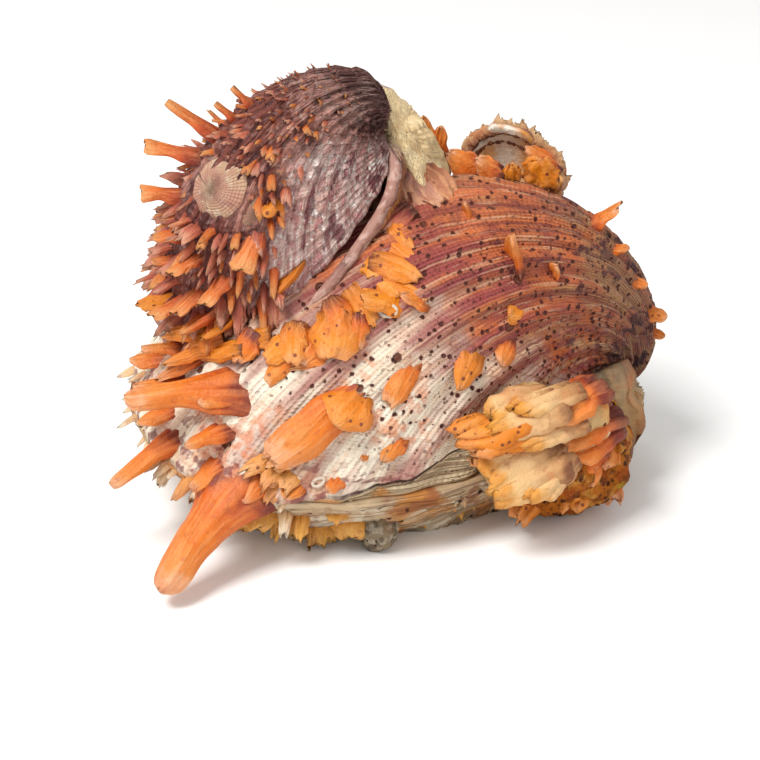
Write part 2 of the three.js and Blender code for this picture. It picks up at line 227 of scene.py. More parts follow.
def bake(made):
    """Replaces the object's mesh with its evaluated one and drops the modifiers."""
    graph = bpy.context.evaluated_depsgraph_get()
    mesh = bpy.data.meshes.new_from_object(made.evaluated_get(graph),
                                           preserve_all_data_layers=True, depsgraph=graph)
    made.modifiers.clear()
    made.data = mesh
    mesh.shade_smooth()
    return made


def set_heights(made, rule):
    """Moves the points of a mesh up or down by a rule on their heights."""
    points = np.empty((len(made.data.vertices), 3), np.float32)
    made.data.vertices.foreach_get("co", points.ravel())
    points[:, 2] = rule(points[:, 2])
    made.data.vertices.foreach_set("co", points.ravel())
    made.data.update()


def keep_above_floor(made):
    """Flattens what would dip through the floor."""
    set_heights(made, lambda z: np.maximum(z, 0.0))


def ended(points, plane, soft=1.5):
    """Pushes points beyond a plane back to it, rounding over a little."""
    at, out = (np.array(v, float) for v in plane)
    out /= np.linalg.norm(out)
    beyond = (points - at) @ out
    kept = np.where(beyond > -soft, -soft + soft * np.tanh((beyond + soft) / soft / 2), beyond)
    return points + (np.minimum(kept, beyond) - beyond)[..., None] * out


def shell_part(valve, pose, columns, rings, floor=None, breaks=None, end=None):
    """A thick valve: hollow side out to the margin, then the outer side back to the umbo."""
    u = (columns + 0.5 / len(columns)) % 1.0
    smallest = math.exp(-valve["curl"] * valve["swing"])
    edge = np.ones_like(u) if breaks is None else breaks(u)
    inner_s = np.linspace(0.25, 1, 9)[:, None] * edge
    outer_s = np.linspace(1, smallest, rings)[:, None]
    outer_s = smallest + (edge - smallest) * (outer_s - smallest) / (1 - smallest)
    inner = grow(u[None, :] + 0 * inner_s, inner_s, valve, pose, shrink=0.05)
    outer = grow(u[None, :] + 0 * outer_s, outer_s, valve, pose)
    points = np.concatenate([inner, outer])
    if floor is not None:
        points[..., 2] = np.maximum(points[..., 2], floor)
    if end is not None:
        points = ended(points, end)
    growth = np.concatenate([inner_s + 0 * u, outer_s + 0 * u])
    side = np.concatenate([np.zeros_like(inner_s + 0 * u), np.ones_like(outer_s + 0 * u)])
    side[len(inner_s)] = 0.6
    marks = {"rib": np.broadcast_to(u, growth.shape), "growth": growth, "outer": side}
    return lofted(points, marks)


def mark_below(part):
    """How far each point lies past the overhanging lip, in growth; the rest is set back."""
    points, faces, marks = part
    lip = np.interp(marks["rib"], *LIP_LINE)
    lip = lip + 0.0015 * np.sin(430 * marks["rib"]) + 0.004 * np.sin(61 * marks["rib"])
    below = np.where(marks["rib"] < LIP_LINE[0][-1], marks["growth"] - lip, -1.0)
    below = np.where(marks["outer"] > 0.5, below, -1.0)
    set_back = LIP_STEP * np.clip(below / 0.012, 0, 1)
    points[:, 1] += set_back
    points[:, 2] -= 0.5 * set_back
    return points, faces, {**marks, "below": below}


def columns_between(dense_from, dense_to, dense, rest):
    """Rib coordinates 0 to 1, closer together on the side that is ribbed finely."""
    first = int(rest * dense_from / (dense_from + 1 - dense_to))
    return np.concatenate([
        np.linspace(0, dense_from, first, endpoint=False),
        np.linspace(dense_from, dense_to, dense, endpoint=False),
        np.linspace(dense_to, 1, rest - first, endpoint=False)])


def leaf(start, end, up, rim, wide, thick=3.0, curl=0.5, bow=1.0, blunt=0.35, ridges=3,
         ridge=0.35, jag=0.0, phase=0.0, tint=1.0, steps=20, across=9):
    """A spine or frill: a bowed, guttered plate with lengthwise ridges and a rounded end."""
    start, end, up = (np.asarray(v, float) for v in (start, end, up))
    t = np.linspace(0, 1, steps)[:, None]
    p = np.linspace(-1, 1, across)[None, :]
    middle = (start + end) / 2 + up * bow
    centre = (1 - t) ** 2 * start + 2 * t * (1 - t) * middle + t ** 2 * end
    tangent = 2 * (1 - t) * (middle - start) + 2 * t * (end - middle)
    tangent /= np.linalg.norm(tangent, axis=1, keepdims=True)
    side = rim - tangent * (tangent @ rim)[:, None]
    side /= np.linalg.norm(side, axis=1, keepdims=True)
    face = np.cross(side, tangent)
    face *= np.sign((face @ up).mean()) or 1
    body = np.interp(t[:, 0], [0, 0.5, 1], np.array(wide) / 2)[:, None]
    past = np.clip((t - (1 - blunt)) / blunt, 0, 1)
    if jag:
        half = body * (1 - 0.3 * past ** 3)
    else:
        half = body * np.sqrt(np.maximum(1 - past ** 2.4, 0.02))
    half = half * (1 + 0.09 * np.sin(7 * t + phase) + 0.04 * np.sin(19 * t + 2 * phase))
    half = half * (1 + 0.05 * np.sin(12 * t + 3 * phase) * np.sign(p))
    x = half * np.sin(curl * p) / max(math.sin(curl), 0.05) if curl else half * p
    drop = -half * (1 - np.cos(curl * p)) / max(abs(curl), 0.05) * np.sign(curl or 1)
    bumps = ridge * np.cos(ridges * np.pi * p + phase + 1.5 * t) * (1 - 0.3 * t)
    bumps = bumps + 0.5 * ridge * np.sin(6 * t + 2.3 * p + phase)
    h = thick / 2 * (1 - (0.85 if jag else 0.5) * t) * (1 - 0.85 * p ** 4)
    lobes = (np.sin(3.1 * p + phase) + 0.7 * np.sin(7.3 * p + 2.1 * phase)
             + 0.5 * np.sin(17 * p + 3.7 * phase))
    tongue = jag * lobes * t ** 4
    spine = centre[:, None] + tangent[:, None] * tongue[..., None] + side[:, None] * x[..., None]
    top = spine + face[:, None] * (drop + bumps + h)[..., None]
    under = spine + face[:, None] * (drop - h + 0.5 * bumps)[..., None]
    points = np.concatenate([top, under[:, ::-1]], 1)
    whole = np.broadcast_to(t, x.shape)
    cross = np.broadcast_to(p, x.shape)
    marks = {"tip": np.concatenate([whole, whole], 1),
             "across": np.concatenate([cross, cross[:, ::-1]], 1),
             "tint": np.full((steps, 2 * across), float(tint))}
    return lofted(points, marks)


def planted(valve, pose, rows, turn=0.0, **common):
    """Leaves rooted in a valve, from rows of (u, s, tip offset, widths, own shape); turn is
    how far the wobble of each leaf is from that of the one before."""
    parts = []
    for index, (u, s, tip, wide, own) in enumerate(rows):
        # Leaves sink 1.4 mm by default so that their dark root shows above the shell, partly as
        # painted shade at the base of each leaf.
        shape = {"root": 1.4, "phase": turn * index, **common, **own}
        here, normal, rim, _ = surface_at(u, s, valve, pose)
        start = here - normal * shape.pop("root")
        parts.append(leaf(start, here + np.array(tip, float), normal, rim, wide, **shape))
    return parts


def with_blank_marks(part):
    """A leaf that the relief tree takes for ribless outer shell."""
    points, faces, marks = part
    blank = np.zeros_like(marks["tip"])
    return points, faces, {**marks, "rib": blank, "growth": blank, "outer": blank + 1}


def plates(rows, turn, **common):
    """Frills along the large valve from rows of (start, end, widths, bow, tint[, jag])."""
    parts = []
    for index, (start, end, wide, bow, tint, *jag) in enumerate(rows):
        across = np.cross(VALVE_NORMAL, np.array(end, float) - np.array(start, float))
        shape = {**common, **({"jag": jag[0]} if jag else {})}
        parts.append(leaf(start, end, VALVE_NORMAL, across / np.linalg.norm(across), wide,
                          bow=bow, tint=tint, phase=turn * index, **shape))
    return parts


# ---- materials ----------------------------------------------------------------------------
def linear(code):
    """An sRGB hex code as linear red, green, blue, alpha."""
    parts = [int(code[i:i + 2], 16) / 255 for i in (1, 3, 5)]
    return tuple(c / 12.92 if c <= 0.04045 else ((c + 0.055) / 1.055) ** 2.4
                 for c in parts) + (1.0,)


def add(tree, kind, inputs=None, **settings):
    """Adds a node, gives it its settings, and links or sets its inputs."""
    made = tree.nodes.new(kind)
    for key, value in settings.items():
        setattr(made, key, value)
    for key, value in (inputs or {}).items():
        socket = made.inputs[key]
        if isinstance(value, bpy.types.NodeSocket):
            tree.links.new(value, socket)
        else:
            socket.default_value = value
    return made


def paint(tree, base, layers):
    """Lays colours over a base: each layer is masks to multiply and a colour, hex or socket."""
    below = linear(base) if isinstance(base, str) else base
    for *masks, colour in layers:
        colour = linear(colour) if isinstance(colour, str) else colour
        below = add(tree, "ShaderNodeMix", {0: product(tree, *masks), 6: below, 7: colour},
                    data_type="RGBA").outputs[2]
    return below


def grain(tree, vector, scale, low, high, detail=4.0):
    """Soft patches: noise at a scale, cut between two levels."""
    noise = add(tree, "ShaderNodeTexNoise", {"Vector": vector, "Scale": scale, "Detail": detail})
    return step_up(tree, noise.outputs[0], low, high)


def speckle(tree, place, size, low, high, detail=4.0):
    """Patches about so many millimetres across, 0 to 1."""
    return grain(tree, place, 1 / (size * MM), low, high, detail)


def product(tree, *values):
    """Masks multiplied together."""
    result = values[0]
    for value in values[1:]:
        result = add(tree, "ShaderNodeMath", {0: result, 1: value},
                     operation="MULTIPLY").outputs[0]
    return result


def weighted(tree, *terms):
    """Sum of (value, weight) pairs."""
    total = 0.0
    for value, weight in terms:
        total = add(tree, "ShaderNodeMath", {0: value, 1: weight, 2: total},
                    operation="MULTIPLY_ADD").outputs[0]
    return total


def step_up(tree, value, low, high):
    """0 below low, 1 above high, smooth between; turned round where low is above high."""
    return add(tree, "ShaderNodeMapRange", {0: value, 1: low, 2: high},
               interpolation_type="SMOOTHSTEP").outputs[0]


def mark(tree, name):
    """A piece's own float attribute."""
    return add(tree, "ShaderNodeAttribute", attribute_name=name).outputs["Fac"]


def rib_space(tree, across, along):
    """A vector that follows the ribs: periods across and along them, in shell coordinates."""
    rib = product(tree, mark(tree, "rib"), across)
    growth = product(tree, mark(tree, "growth"), along)
    return add(tree, "ShaderNodeCombineXYZ", {0: rib, 1: growth}).outputs[0]


def streaks(tree, across, along, low, high, detail=4.0):
    """Patches drawn out along the ribs, or across them where along is the greater count."""
    return grain(tree, rib_space(tree, across, along), 1, low, high, detail)


def waves(tree, value, count):
    """A sine along a coordinate, count periods per unit."""
    turned = product(tree, value, count * 2 * math.pi)
    return add(tree, "ShaderNodeMath", {0: turned}, operation="SINE").outputs[0]


def holes(tree, vector, spacing, radius, share=0.45):
    """Round borings of a given radius in metres, about one in each cell of the spacing."""
    cells = add(tree, "ShaderNodeTexVoronoi",
                {"Vector": vector, "Scale": 1 / spacing, "Randomness": 1.0})
    near = add(tree, "ShaderNodeMapRange",
               {0: cells.outputs["Distance"], 1: 1.15 * radius / spacing,
                2: 0.85 * radius / spacing}).outputs[0]
    chosen = add(tree, "ShaderNodeSeparateColor", {0: cells.outputs["Color"]}).outputs[0]
    kept = add(tree, "ShaderNodeMath", {0: chosen, 1: share}, operation="LESS_THAN").outputs[0]
    return product(tree, near, kept)


def lime(name, build, roughness=0.62, specular=0.35):
    """A shell-lime material; build returns its colour and its height in millimetres."""
    material = bpy.data.materials.new(name)
    material.use_nodes = True
    tree = material.node_tree
    tree.nodes.clear()
    place = add(tree, "ShaderNodeTexCoord").outputs["Object"]
    colour, height = build(tree, place)
    bump = add(tree, "ShaderNodeBump", {"Height": height, "Distance": MM, "Strength": 1.0})
    shader = add(tree, "ShaderNodeBsdfPrincipled",
                 {"Base Color": colour, "Roughness": roughness, "IOR": 1.5,
                  "Specular IOR Level": specular, "Normal": bump.outputs[0]})
    add(tree, "ShaderNodeOutputMaterial", {0: shader.outputs[0]})
    return material


def ribbed_terracotta(colours):
    """Ribbed calcite of an old upper valve: worn terracotta over cream, drilled by sponge."""
    # Gives the eye radial maroon lines, a beaded net of fine ribs, and scattered holes whose dark
    # colour is painted shade.
    def build(tree, place):
        rib, growth, outer = (mark(tree, k) for k in ("rib", "growth", "outer"))
        lean = weighted(tree, (growth, 1.0), (rib, -0.55), (0.32, 0.55))
        ragged = weighted(tree, (lean, 1.0), (speckle(tree, place, 16.7, 0, 1), 0.16),
                          (streaks(tree, 40, 4, 0, 1), 0.08))
        creamy = step_up(tree, ragged, 0.68, 0.88)
        below = mark(tree, "below")
        under = step_up(tree, below, 0.0, 0.006)
        # The slit is a dark line where the lip overhangs the lower valve, also sunk in the bump;
        # its dark colour is painted shade in the gap between the valves.
        slit = product(tree, step_up(tree, below, -0.002, 0.0),
                       step_up(tree, below, 0.005, 0.002), speckle(tree, place, 16.7, 0.35, 0.5))
        layers = streaks(tree, 10, 120, 0.46, 0.60, 3)
        ochre = speckle(tree, place, 13.3, 0.50, 0.58)
        uneven = weighted(tree, (growth, 1.0), (speckle(tree, place, 14.3, 0, 1), 0.22))
        umbo = step_up(tree, uneven, 0.56, 0.30)
        streak = streaks(tree, 95, 3.5, 0.50, 0.60, 3)
        groups = streaks(tree, 34, 1.6, 0.48, 0.58, 2)
        # Pale streaks along the ribs: painted highlight on them.
        pale = streaks(tree, 140, 10, 0.54, 0.64, 3)
        tan = product(tree, streaks(tree, 26, 5, 0.50, 0.64, 3),
                      step_up(tree, growth, 0.66, 0.5))
        dashes = streaks(tree, 110, 60, 0.52, 0.60, 2)
        edge = step_up(tree, growth, 0.90, 0.97)
        riblet = waves(tree, rib, 215)
        bead = waves(tree, growth, 150)
        # The furrows between the fine ribs are painted darker, less on the cream: painted shade in
        # the recesses.
        furrow_shade = product(tree, step_up(tree, riblet, 0.1, -0.9), outer,
                         weighted(tree, (1.0, 1.0), (creamy, -0.85)))
        bent = add(tree, "ShaderNodeTexNoise", {"Vector": place, "Scale": 700.0}).outputs[1]
        spots = add(tree, "ShaderNodeMix", {0: 0.0009, 4: place, 5: bent},
                    data_type="VECTOR").outputs[1]
        denser = step_up(tree, weighted(tree, (rib, 1.0), (growth, 0.35)), 0.75, 0.45)
        # Borings sunk only in the bump; the dark colours they get below are painted shade inside
        # the holes.
        small = product(tree, holes(tree, spots, 0.0019, 0.00038, 0.75), outer, denser)
        old = weighted(tree, (step_up(tree, growth, 0.90, 0.78), 0.9), (1.0, 0.1))
        bored = product(tree, holes(tree, spots, 0.0026, 0.00056, 0.85), outer,
                        step_up(tree, growth, 0.88, 0.84))
        wide = product(tree, holes(tree, spots, 0.0085, 0.0013, 0.6), outer)
        rim = product(tree, holes(tree, spots, 0.0026, 0.00078, 0.85), outer, old)
        base = paint(tree, colours.terracotta_hex, [
            (speckle(tree, place, 14.3, 0.42, 0.62), "#c66c40"),
            (speckle(tree, place, 7.69, 0.5, 0.66), "#9c4c36"),
            (groups, 0.45, "#7b3a36"),
            (tan, 0.85, "#bd8f5c"),
            (speckle(tree, place, 20.8, 0.56, 0.66), 0.7, "#c4622c"),
            (creamy, 0.95, colours.cream_hex),
            (streaks(tree, 22, 2.2, 0.52, 0.60, 3), creamy, 0.75, "#9c5148"),
            (creamy, speckle(tree, place, 25, 0.5, 0.62), 0.5, "#eee4d0"),
            (streak, step_up(tree, ragged, 1.05, 0.62), 0.75, "#6f2f2b"),
            (step_up(tree, ragged, 0.56, 0.68), step_up(tree, ragged, 0.92, 0.76),
             streaks(tree, 60, 2, 0.42, 0.56, 3), 0.8, "#8a353a"),
            (streak, creamy, 0.35, "#9a5a50"),
            # painted highlight along the ribs
            (pale, 0.4, "#d8b590"),
            (speckle(tree, place, 27.8, 0.54, 0.62), speckle(tree, place, 3.85, 0.42, 0.6), 0.6,
             "#cf6a26"),
            (creamy, speckle(tree, place, 11.1, 0.56, 0.66), 0.5, "#c98a62"),
            (edge, dashes, 0.75, "#7a3a39"),
            (umbo, 0.65, "#80564a"),
            (umbo, speckle(tree, place, 4.76, 0.48, 0.60), "#9c7452"),
            (umbo, speckle(tree, place, 6.67, 0.54, 0.62), "#3e2028"),
            (step_up(tree, growth, 0.60, 0.45), speckle(tree, place, 5.26, 0.60, 0.66), 0.8,
             "#4a2630"),
            # painted shade in the furrows between the fine ribs
            (furrow_shade, 0.25, "#5c2f2a"),
            (under, 0.95, "#cdb894"),
            (under, layers, 0.75, "#8f6f52"),
            (under, ochre, 0.8, "#c07a2c"),
            # painted shade in the gap under the overhanging lip
            (slit, "#3a1c16"),
            # painted shade inside the borings
            (rim, 0.5, "#7c3c26"),
            (wide, "#5f2f1c"),
            (bored, "#4a170d"),
            (small, "#571f10"),
            (step_up(tree, outer, 0.7, 0.4), "#b79a72"),
            (step_up(tree, outer, 0.7, 0.4), ochre, 0.7, "#a86a2a"),
        ])
        height = weighted(tree, (riblet, 0.12), (product(tree, riblet, bead), 0.05),
                          (bead, 0.04), (speckle(tree, place, 2, 0, 1), 0.35),
                          (speckle(tree, place, 0.769, 0, 1), 0.15),
                          (product(tree, under, layers), -0.8), (slit, -0.9),
                          (small, -0.8), (bored, -1.3), (wide, -1.6))
        return base, height
    return lime("Ribbed calcite, sponge-bored", build)


def scaly_maroon(colours):
    """Ribbed calcite of a fresher upper valve, dark maroon with worn pink bands; the ground is
    darker than the shell's own maroon, as painted shade between the scales.
    """
    # Gives the eye a dark ground, partly painted shade between the scales, with broken pinkish
    # ribs, and a pale worn side with red folds.
    def build(tree, place):
        rib, growth, outer = (mark(tree, k) for k in ("rib", "growth", "outer"))
        fine = streaks(tree, 110, 12, 0.48, 0.60, 5)
        # Dark streaks between the ribs, sunk in the bump; their dark colour is painted shade
        # between the ribs and scales.
        dark = streaks(tree, 60, 5, 0.49, 0.60, 5)
        worn = product(tree, speckle(tree, place, 12.5, 0.50, 0.60, 6),
                       step_up(tree, growth, 0.78, 0.62))
        frost = speckle(tree, place, 1.92, 0.54, 0.64, 4)
        ragged = weighted(tree, (rib, 1.0), (speckle(tree, place, 16.7, 0, 1), 0.08))
        side = product(tree, step_up(tree, ragged, 0.40, 0.30),
                       step_up(tree, growth, 0.36, 0.60))
        grey = product(tree, step_up(tree, growth, 0.42, 0.30), 0.8)
        # The maroon ground is partly painted shade between the scales.
        base = paint(tree, colours.maroon_hex, [
            (fine, 0.45, "#a0604e"),
            (worn, 0.85, "#b67c6c"),
            (worn, frost, 0.8, "#dcc0ae"),
            (speckle(tree, place, 18.2, 0.56, 0.62), speckle(tree, place, 3.33, 0.4, 0.6), 0.6,
             "#c99a90"),
            (grey, 0.7, "#6f5450"),
            (grey, speckle(tree, place, 11.1, 0.52, 0.6), 0.7, "#c4a498"),
            # painted shade between the ribs and scales
            (dark, 0.8, "#42191a"),
            (worn, speckle(tree, place, 3, 0.42, 0.56), 0.75, "#b88478"),
            (frost, 0.3, "#b48a84"),
            (side, 0.9, "#cfa79c"),
            (side, speckle(tree, place, 14.3, 0.50, 0.58), 0.5, "#e2cfc6"),
            (side, frost, 0.9, "#ece1d8"),
            (side, fine, 0.6, "#a8545a"),
            (side, streaks(tree, 45, 6, 0.55, 0.62, 3), 0.8, "#6e2f38"),
            (step_up(tree, outer, 0.55, 0.2), "#b9a79a"),
        ])
        height = weighted(tree, (waves(tree, rib, 90), 0.25), (fine, 0.6), (dark, -0.5),
                          (waves(tree, growth, 70), 0.12), (frost, 0.3),
                          (speckle(tree, place, 1.25, 0, 1), 0.5))
        return base, height
    return lime("Ribbed calcite, scaly maroon", build)


def chalky_lower(colours):
    """Layered calcite of a lower valve: chalky cream with grey growth lines and ochre."""
    # Gives the eye stacked growth edges, warm stains and a dull, dusty surface.
    def build(tree, place):
        growth, outer = mark(tree, "growth"), mark(tree, "outer")
        lines = streaks(tree, 14, 90, 0.48, 0.60, 3)
        bands = streaks(tree, 8, 22, 0.46, 0.62, 3)
        ochre = speckle(tree, place, 18.2, 0.50, 0.62)
        # Borings sunk only in the bump; their dark colour below is painted shade inside the holes.
        bored = product(tree, holes(tree, place, 0.005, 0.0008, 0.5), outer)
        base = paint(tree, "#bca280", [
            (bands, 0.6, colours.cream_hex),
            (lines, 0.8, "#7d634a"),
            (ochre, 0.8, "#b8742a"),
            (speckle(tree, place, 8.33, 0.52, 0.64), 0.7, "#8c5034"),
            # painted shade inside the borings
            (bored, "#4a2a1c"),
        ])
        height = weighted(tree, (waves(tree, growth, 70), 0.2), (lines, 0.35),
                          (speckle(tree, place, 1.43, 0, 1), 0.35), (bored, -1.0))
        return base, height
    return lime("Layered calcite, chalky", build, 0.75, 0.2)


def rim_lower(colours):
    """Small lower valve: pale violet rim, beige hinge area, warm brown between."""
    # Gives the eye a smooth pale lip against the dark slit and a clean beige wedge.
    def build(tree, place):
        growth = mark(tree, "growth")
        uneven = weighted(tree, (growth, 1.0), (speckle(tree, place, 14.3, 0, 1), 0.1))
        wedge = step_up(tree, uneven, 0.62, 0.50)
        lip = step_up(tree, growth, 0.90, 0.95)
        lines = streaks(tree, 12, 70, 0.50, 0.62, 3)
        base = paint(tree, "#9a6044", [
            (speckle(tree, place, 9.09, 0.45, 0.6), "#b4703e"),
            (speckle(tree, place, 22, 0.46, 0.60), "#b99a80"),
            (lip, 0.9, colours.rim_hex),
            (lip, lines, 0.7, "#5d3d3e"),
            (lip, speckle(tree, place, 2.86, 0.5, 0.62), 0.6, "#c9aa9c"),
            (wedge, 0.95, colours.wedge_hex),
            (wedge, speckle(tree, place, 6.25, 0.52, 0.66), 0.5, "#a98f63"),
            (wedge, lines, 0.3, "#e2d3ae"),
        ])
        height = weighted(tree, (waves(tree, growth, 50), 0.1), (lines, 0.2),
                          (speckle(tree, place, 1.43, 0, 1), 0.25))
        return base, height
    return lime("Layered calcite, pale lip", build, 0.66, 0.3)


def spine_lime(name, ramp_orange, ramp_dark, roughness=0.5):
    """Solid calcite of spines and frills, dense and slightly waxy, darker at the root, partly its
    own colour and partly painted shade at the base.
    """
    # Gives the eye a warm waxy body, a dark root that is partly painted shade at the base, painted
    # shade along the long edges, a paler worn end and a few bored holes whose dark colour is
    # painted shade.
    def build(tree, place):
        tip, tint = mark(tree, "tip"), mark(tree, "tint")
        vector = add(tree, "ShaderNodeCombineXYZ",
                     {0: product(tree, mark(tree, "across"), 3.2), 1: product(tree, tip, 1.6),
                      2: product(tree, tint, 37.0)}).outputs[0]
        streak = grain(tree, vector, 1.6, 0.40, 0.64, 5)
        shade = weighted(tree, (tip, 1.0), (speckle(tree, place, 5.56, 0, 1), 0.35), (streak, 0.08),
                         (1.0, -0.18))
        ramps = []
        for stops in (ramp_dark, ramp_orange):
            ramp = add(tree, "ShaderNodeValToRGB", {0: shade})
            while len(ramp.color_ramp.elements) < len(stops):
                ramp.color_ramp.elements.new(0.5)
            for element, (position, code) in zip(ramp.color_ramp.elements, stops):
                element.position = position
                element.color = linear(code)
            ramps.append(ramp.outputs[0])
        bright = step_up(tree, tint, 0.35, 0.65)
        # The long edges of each leaf are painted darker and redder: painted shade, as on a curled
        # plate.
        edge_shade = product(tree, waves(tree, mark(tree, "across"), 0.25),
                       waves(tree, mark(tree, "across"), 0.25),
                       speckle(tree, place, 8.33, 0.3, 0.7))
        base = paint(tree, ramps[0], [
            (bright, ramps[1]),
            (step_up(tree, tint, 0.93, 0.99), step_up(tree, shade, -0.1, 0.2), 0.75, "#d9820c"),
            # painted shade along the leaf edges
            (edge_shade, 0.25, "#9a3a12"),
            (streak, 0.14, "#eeb67c"),
            (speckle(tree, place, 10.5, 0.54, 0.66), 0.25, "#c0551d"),
            (speckle(tree, place, 2.38, 0.58, 0.70), 0.35, "#93401f"),
            # Holes painted on with no depth: their dark colour is painted shade inside them.
            (holes(tree, place, 0.0030, 0.00055, 0.8), step_up(tree, tint, 0.94, 0.955), 0.85,
             "#6b2a14"),
        ])
        height = weighted(tree, (streak, 0.16), (speckle(tree, place, 3.85, 0, 1), 0.4),
                          (speckle(tree, place, 0.909, 0, 1), 0.22))
        return base, height
    return lime(name, build, roughness, 0.4)


# The ramps are read from dark at the leaf's root to pale at its end; the dark first stops colour
# the root, partly the shell's own maroon and partly painted shade where the leaf meets the shell.
ORANGE_RAMP = [(0.0, "#481a1a"), (0.2, "#7e2c18"), (0.36, "#c65a12"), (0.6, "#d9731a"),
               (0.85, "#da8136"), (1.0, "#e0a074")]
REDDISH_RAMP = [(0.0, "#3a1716"), (0.2, "#7a2a18"), (0.4, "#b44a1a"), (0.7, "#cc6824"),
                (1.0, "#d28c50")]
MAROON_RAMP = [(0.0, "#3a1716"), (0.25, "#6e2e28"), (0.5, "#964236"), (0.75, "#ae5a46"),
               (1.0, "#c68c74")]
VIOLET_RAMP = [(0.0, "#3a2023"), (0.35, "#6b4440"), (0.7, "#a87460"), (1.0, "#d09a78")]
RUST_RAMP = [(0.0, "#5f3024"), (0.35, "#8a5a3c"), (0.7, "#a87c54"), (1.0, "#bf9c74")]
BUFF_RAMP = [(0.0, "#8a5236"), (0.3, "#c08a58"), (0.7, "#dcb98a"), (1.0, "#ecdcc0")]


def encrusted(name, base_hex, layers, pits, roughness=0.8, lumpy=0.5):
    """Rough lime crust: pores and stains at the scale of its own grains."""
    # Gives the eye a crumbly, pitted surface with two or three mineral tints.
    def build(tree, place):
        stained = [(speckle(tree, place, size, low, high), strength, code)
                   for size, low, high, strength, code in layers]
        # Pores sunk only in the bump; their dark fill is painted shade inside them.
        spots = holes(tree, place, pits[0], pits[1], pits[2])
        base = paint(tree, base_hex, stained + [(spots, "#5a2f14")])
        height = weighted(tree, (speckle(tree, place, 1.67, 0, 1, 6), lumpy), (spots, -0.8),
                          (speckle(tree, place, 0.667, 0, 1), 0.2))
        return base, height
    return lime(name, build, roughness, 0.2)


# ---- geometry node trees ------------------------------------------------------------------
RELIEF_INPUTS = ("Rib count", "Rib height", "Growth steps", "Step height", "Lump height",
                 "Lump size", "Grit height", "Pit spacing", "Pit radius", "Pit depth")


def new_tree(name, inputs):
    """A geometry tree and what it is given: inputs are names and kinds of socket."""
    tree = bpy.data.node_groups.new(name, "GeometryNodeTree")
    tree.interface.new_socket("Geometry", in_out="OUTPUT", socket_type="NodeSocketGeometry")
    for key, kind in (("Geometry", "Geometry"), *inputs, ("Material", "Material")):
        tree.interface.new_socket(key, in_out="INPUT", socket_type="NodeSocket" + kind)
    return tree, add(tree, "NodeGroupInput").outputs


def fields(tree, kind, *names):
    """Attributes of the points, by name."""
    return (add(tree, "GeometryNodeInputNamedAttribute", {"Name": key},
                data_type=kind).outputs[0] for key in names)


def close_tree(tree, geometry, material):
    """Makes the geometry real, gives it its material and hands it out."""
    whole = add(tree, "GeometryNodeRealizeInstances", {0: geometry})
    done = add(tree, "GeometryNodeSetMaterial", {"Geometry": whole.outputs[0],
                                                 "Material": material})
    add(tree, "NodeGroupOutput", {0: done.outputs[0]})
    return tree


def relief_tree():
    """Raises ribs, growth steps and worn lumps on a valve, and sinks borings into it."""
    tree, given = new_tree("Shell relief", [(key, "Float") for key in RELIEF_INPUTS])
    rib, growth, outer = fields(tree, "FLOAT", "rib", "growth", "outer")
    place = add(tree, "GeometryNodeInputPosition").outputs[0]
    inverse = {key: add(tree, "ShaderNodeMath", {0: 1.0, 1: given[key]},
                        operation="DIVIDE").outputs[0] for key in ("Lump size", "Pit spacing")}
    turned = product(tree, rib, given["Rib count"], 2 * math.pi)
    ribs = add(tree, "ShaderNodeMath", {0: turned}, operation="COSINE").outputs[0]
    lumps = add(tree, "ShaderNodeTexNoise", {"Vector": place, "Scale": inverse["Lump size"],
                                             "Detail": 3.0}).outputs[0]
    grit = add(tree, "ShaderNodeTexNoise", {"Vector": place, "Scale": 420.0,
                                            "Detail": 4.0}).outputs[0]
    edge = weighted(tree, (lumps, 1.4), (ribs, 0.12))
    stepped = add(tree, "ShaderNodeMath", {0: growth, 1: given["Growth steps"], 2: edge},
                  operation="MULTIPLY_ADD").outputs[0]
    saw = add(tree, "ShaderNodeMath", {0: stepped}, operation="FRACT").outputs[0]
    cells = add(tree, "ShaderNodeTexVoronoi", {"Vector": place,
                                               "Scale": inverse["Pit spacing"]})
    near = product(tree, cells.outputs["Distance"], given["Pit spacing"])
    pit = add(tree, "ShaderNodeMapRange", {0: near, 1: given["Pit radius"], 2: 0.0},
              interpolation_type="SMOOTHSTEP").outputs[0]
    height = weighted(tree, (ribs, given["Rib height"]), (saw, given["Step height"]),
                      (lumps, given["Lump height"]), (grit, given["Grit height"]))
    sunk = product(tree, pit, given["Pit depth"])
    height = add(tree, "ShaderNodeMath", {0: height, 1: sunk}, operation="SUBTRACT").outputs[0]
    normal = add(tree, "GeometryNodeInputNormal").outputs[0]
    shift = add(tree, "ShaderNodeVectorMath",
                {0: normal, "Scale": product(tree, height, outer)}, operation="SCALE")
    moved = add(tree, "GeometryNodeSetPosition", {"Geometry": given["Geometry"],
                                                  "Offset": shift.outputs[0]})
    return close_tree(tree, moved.outputs[0], given["Material"])


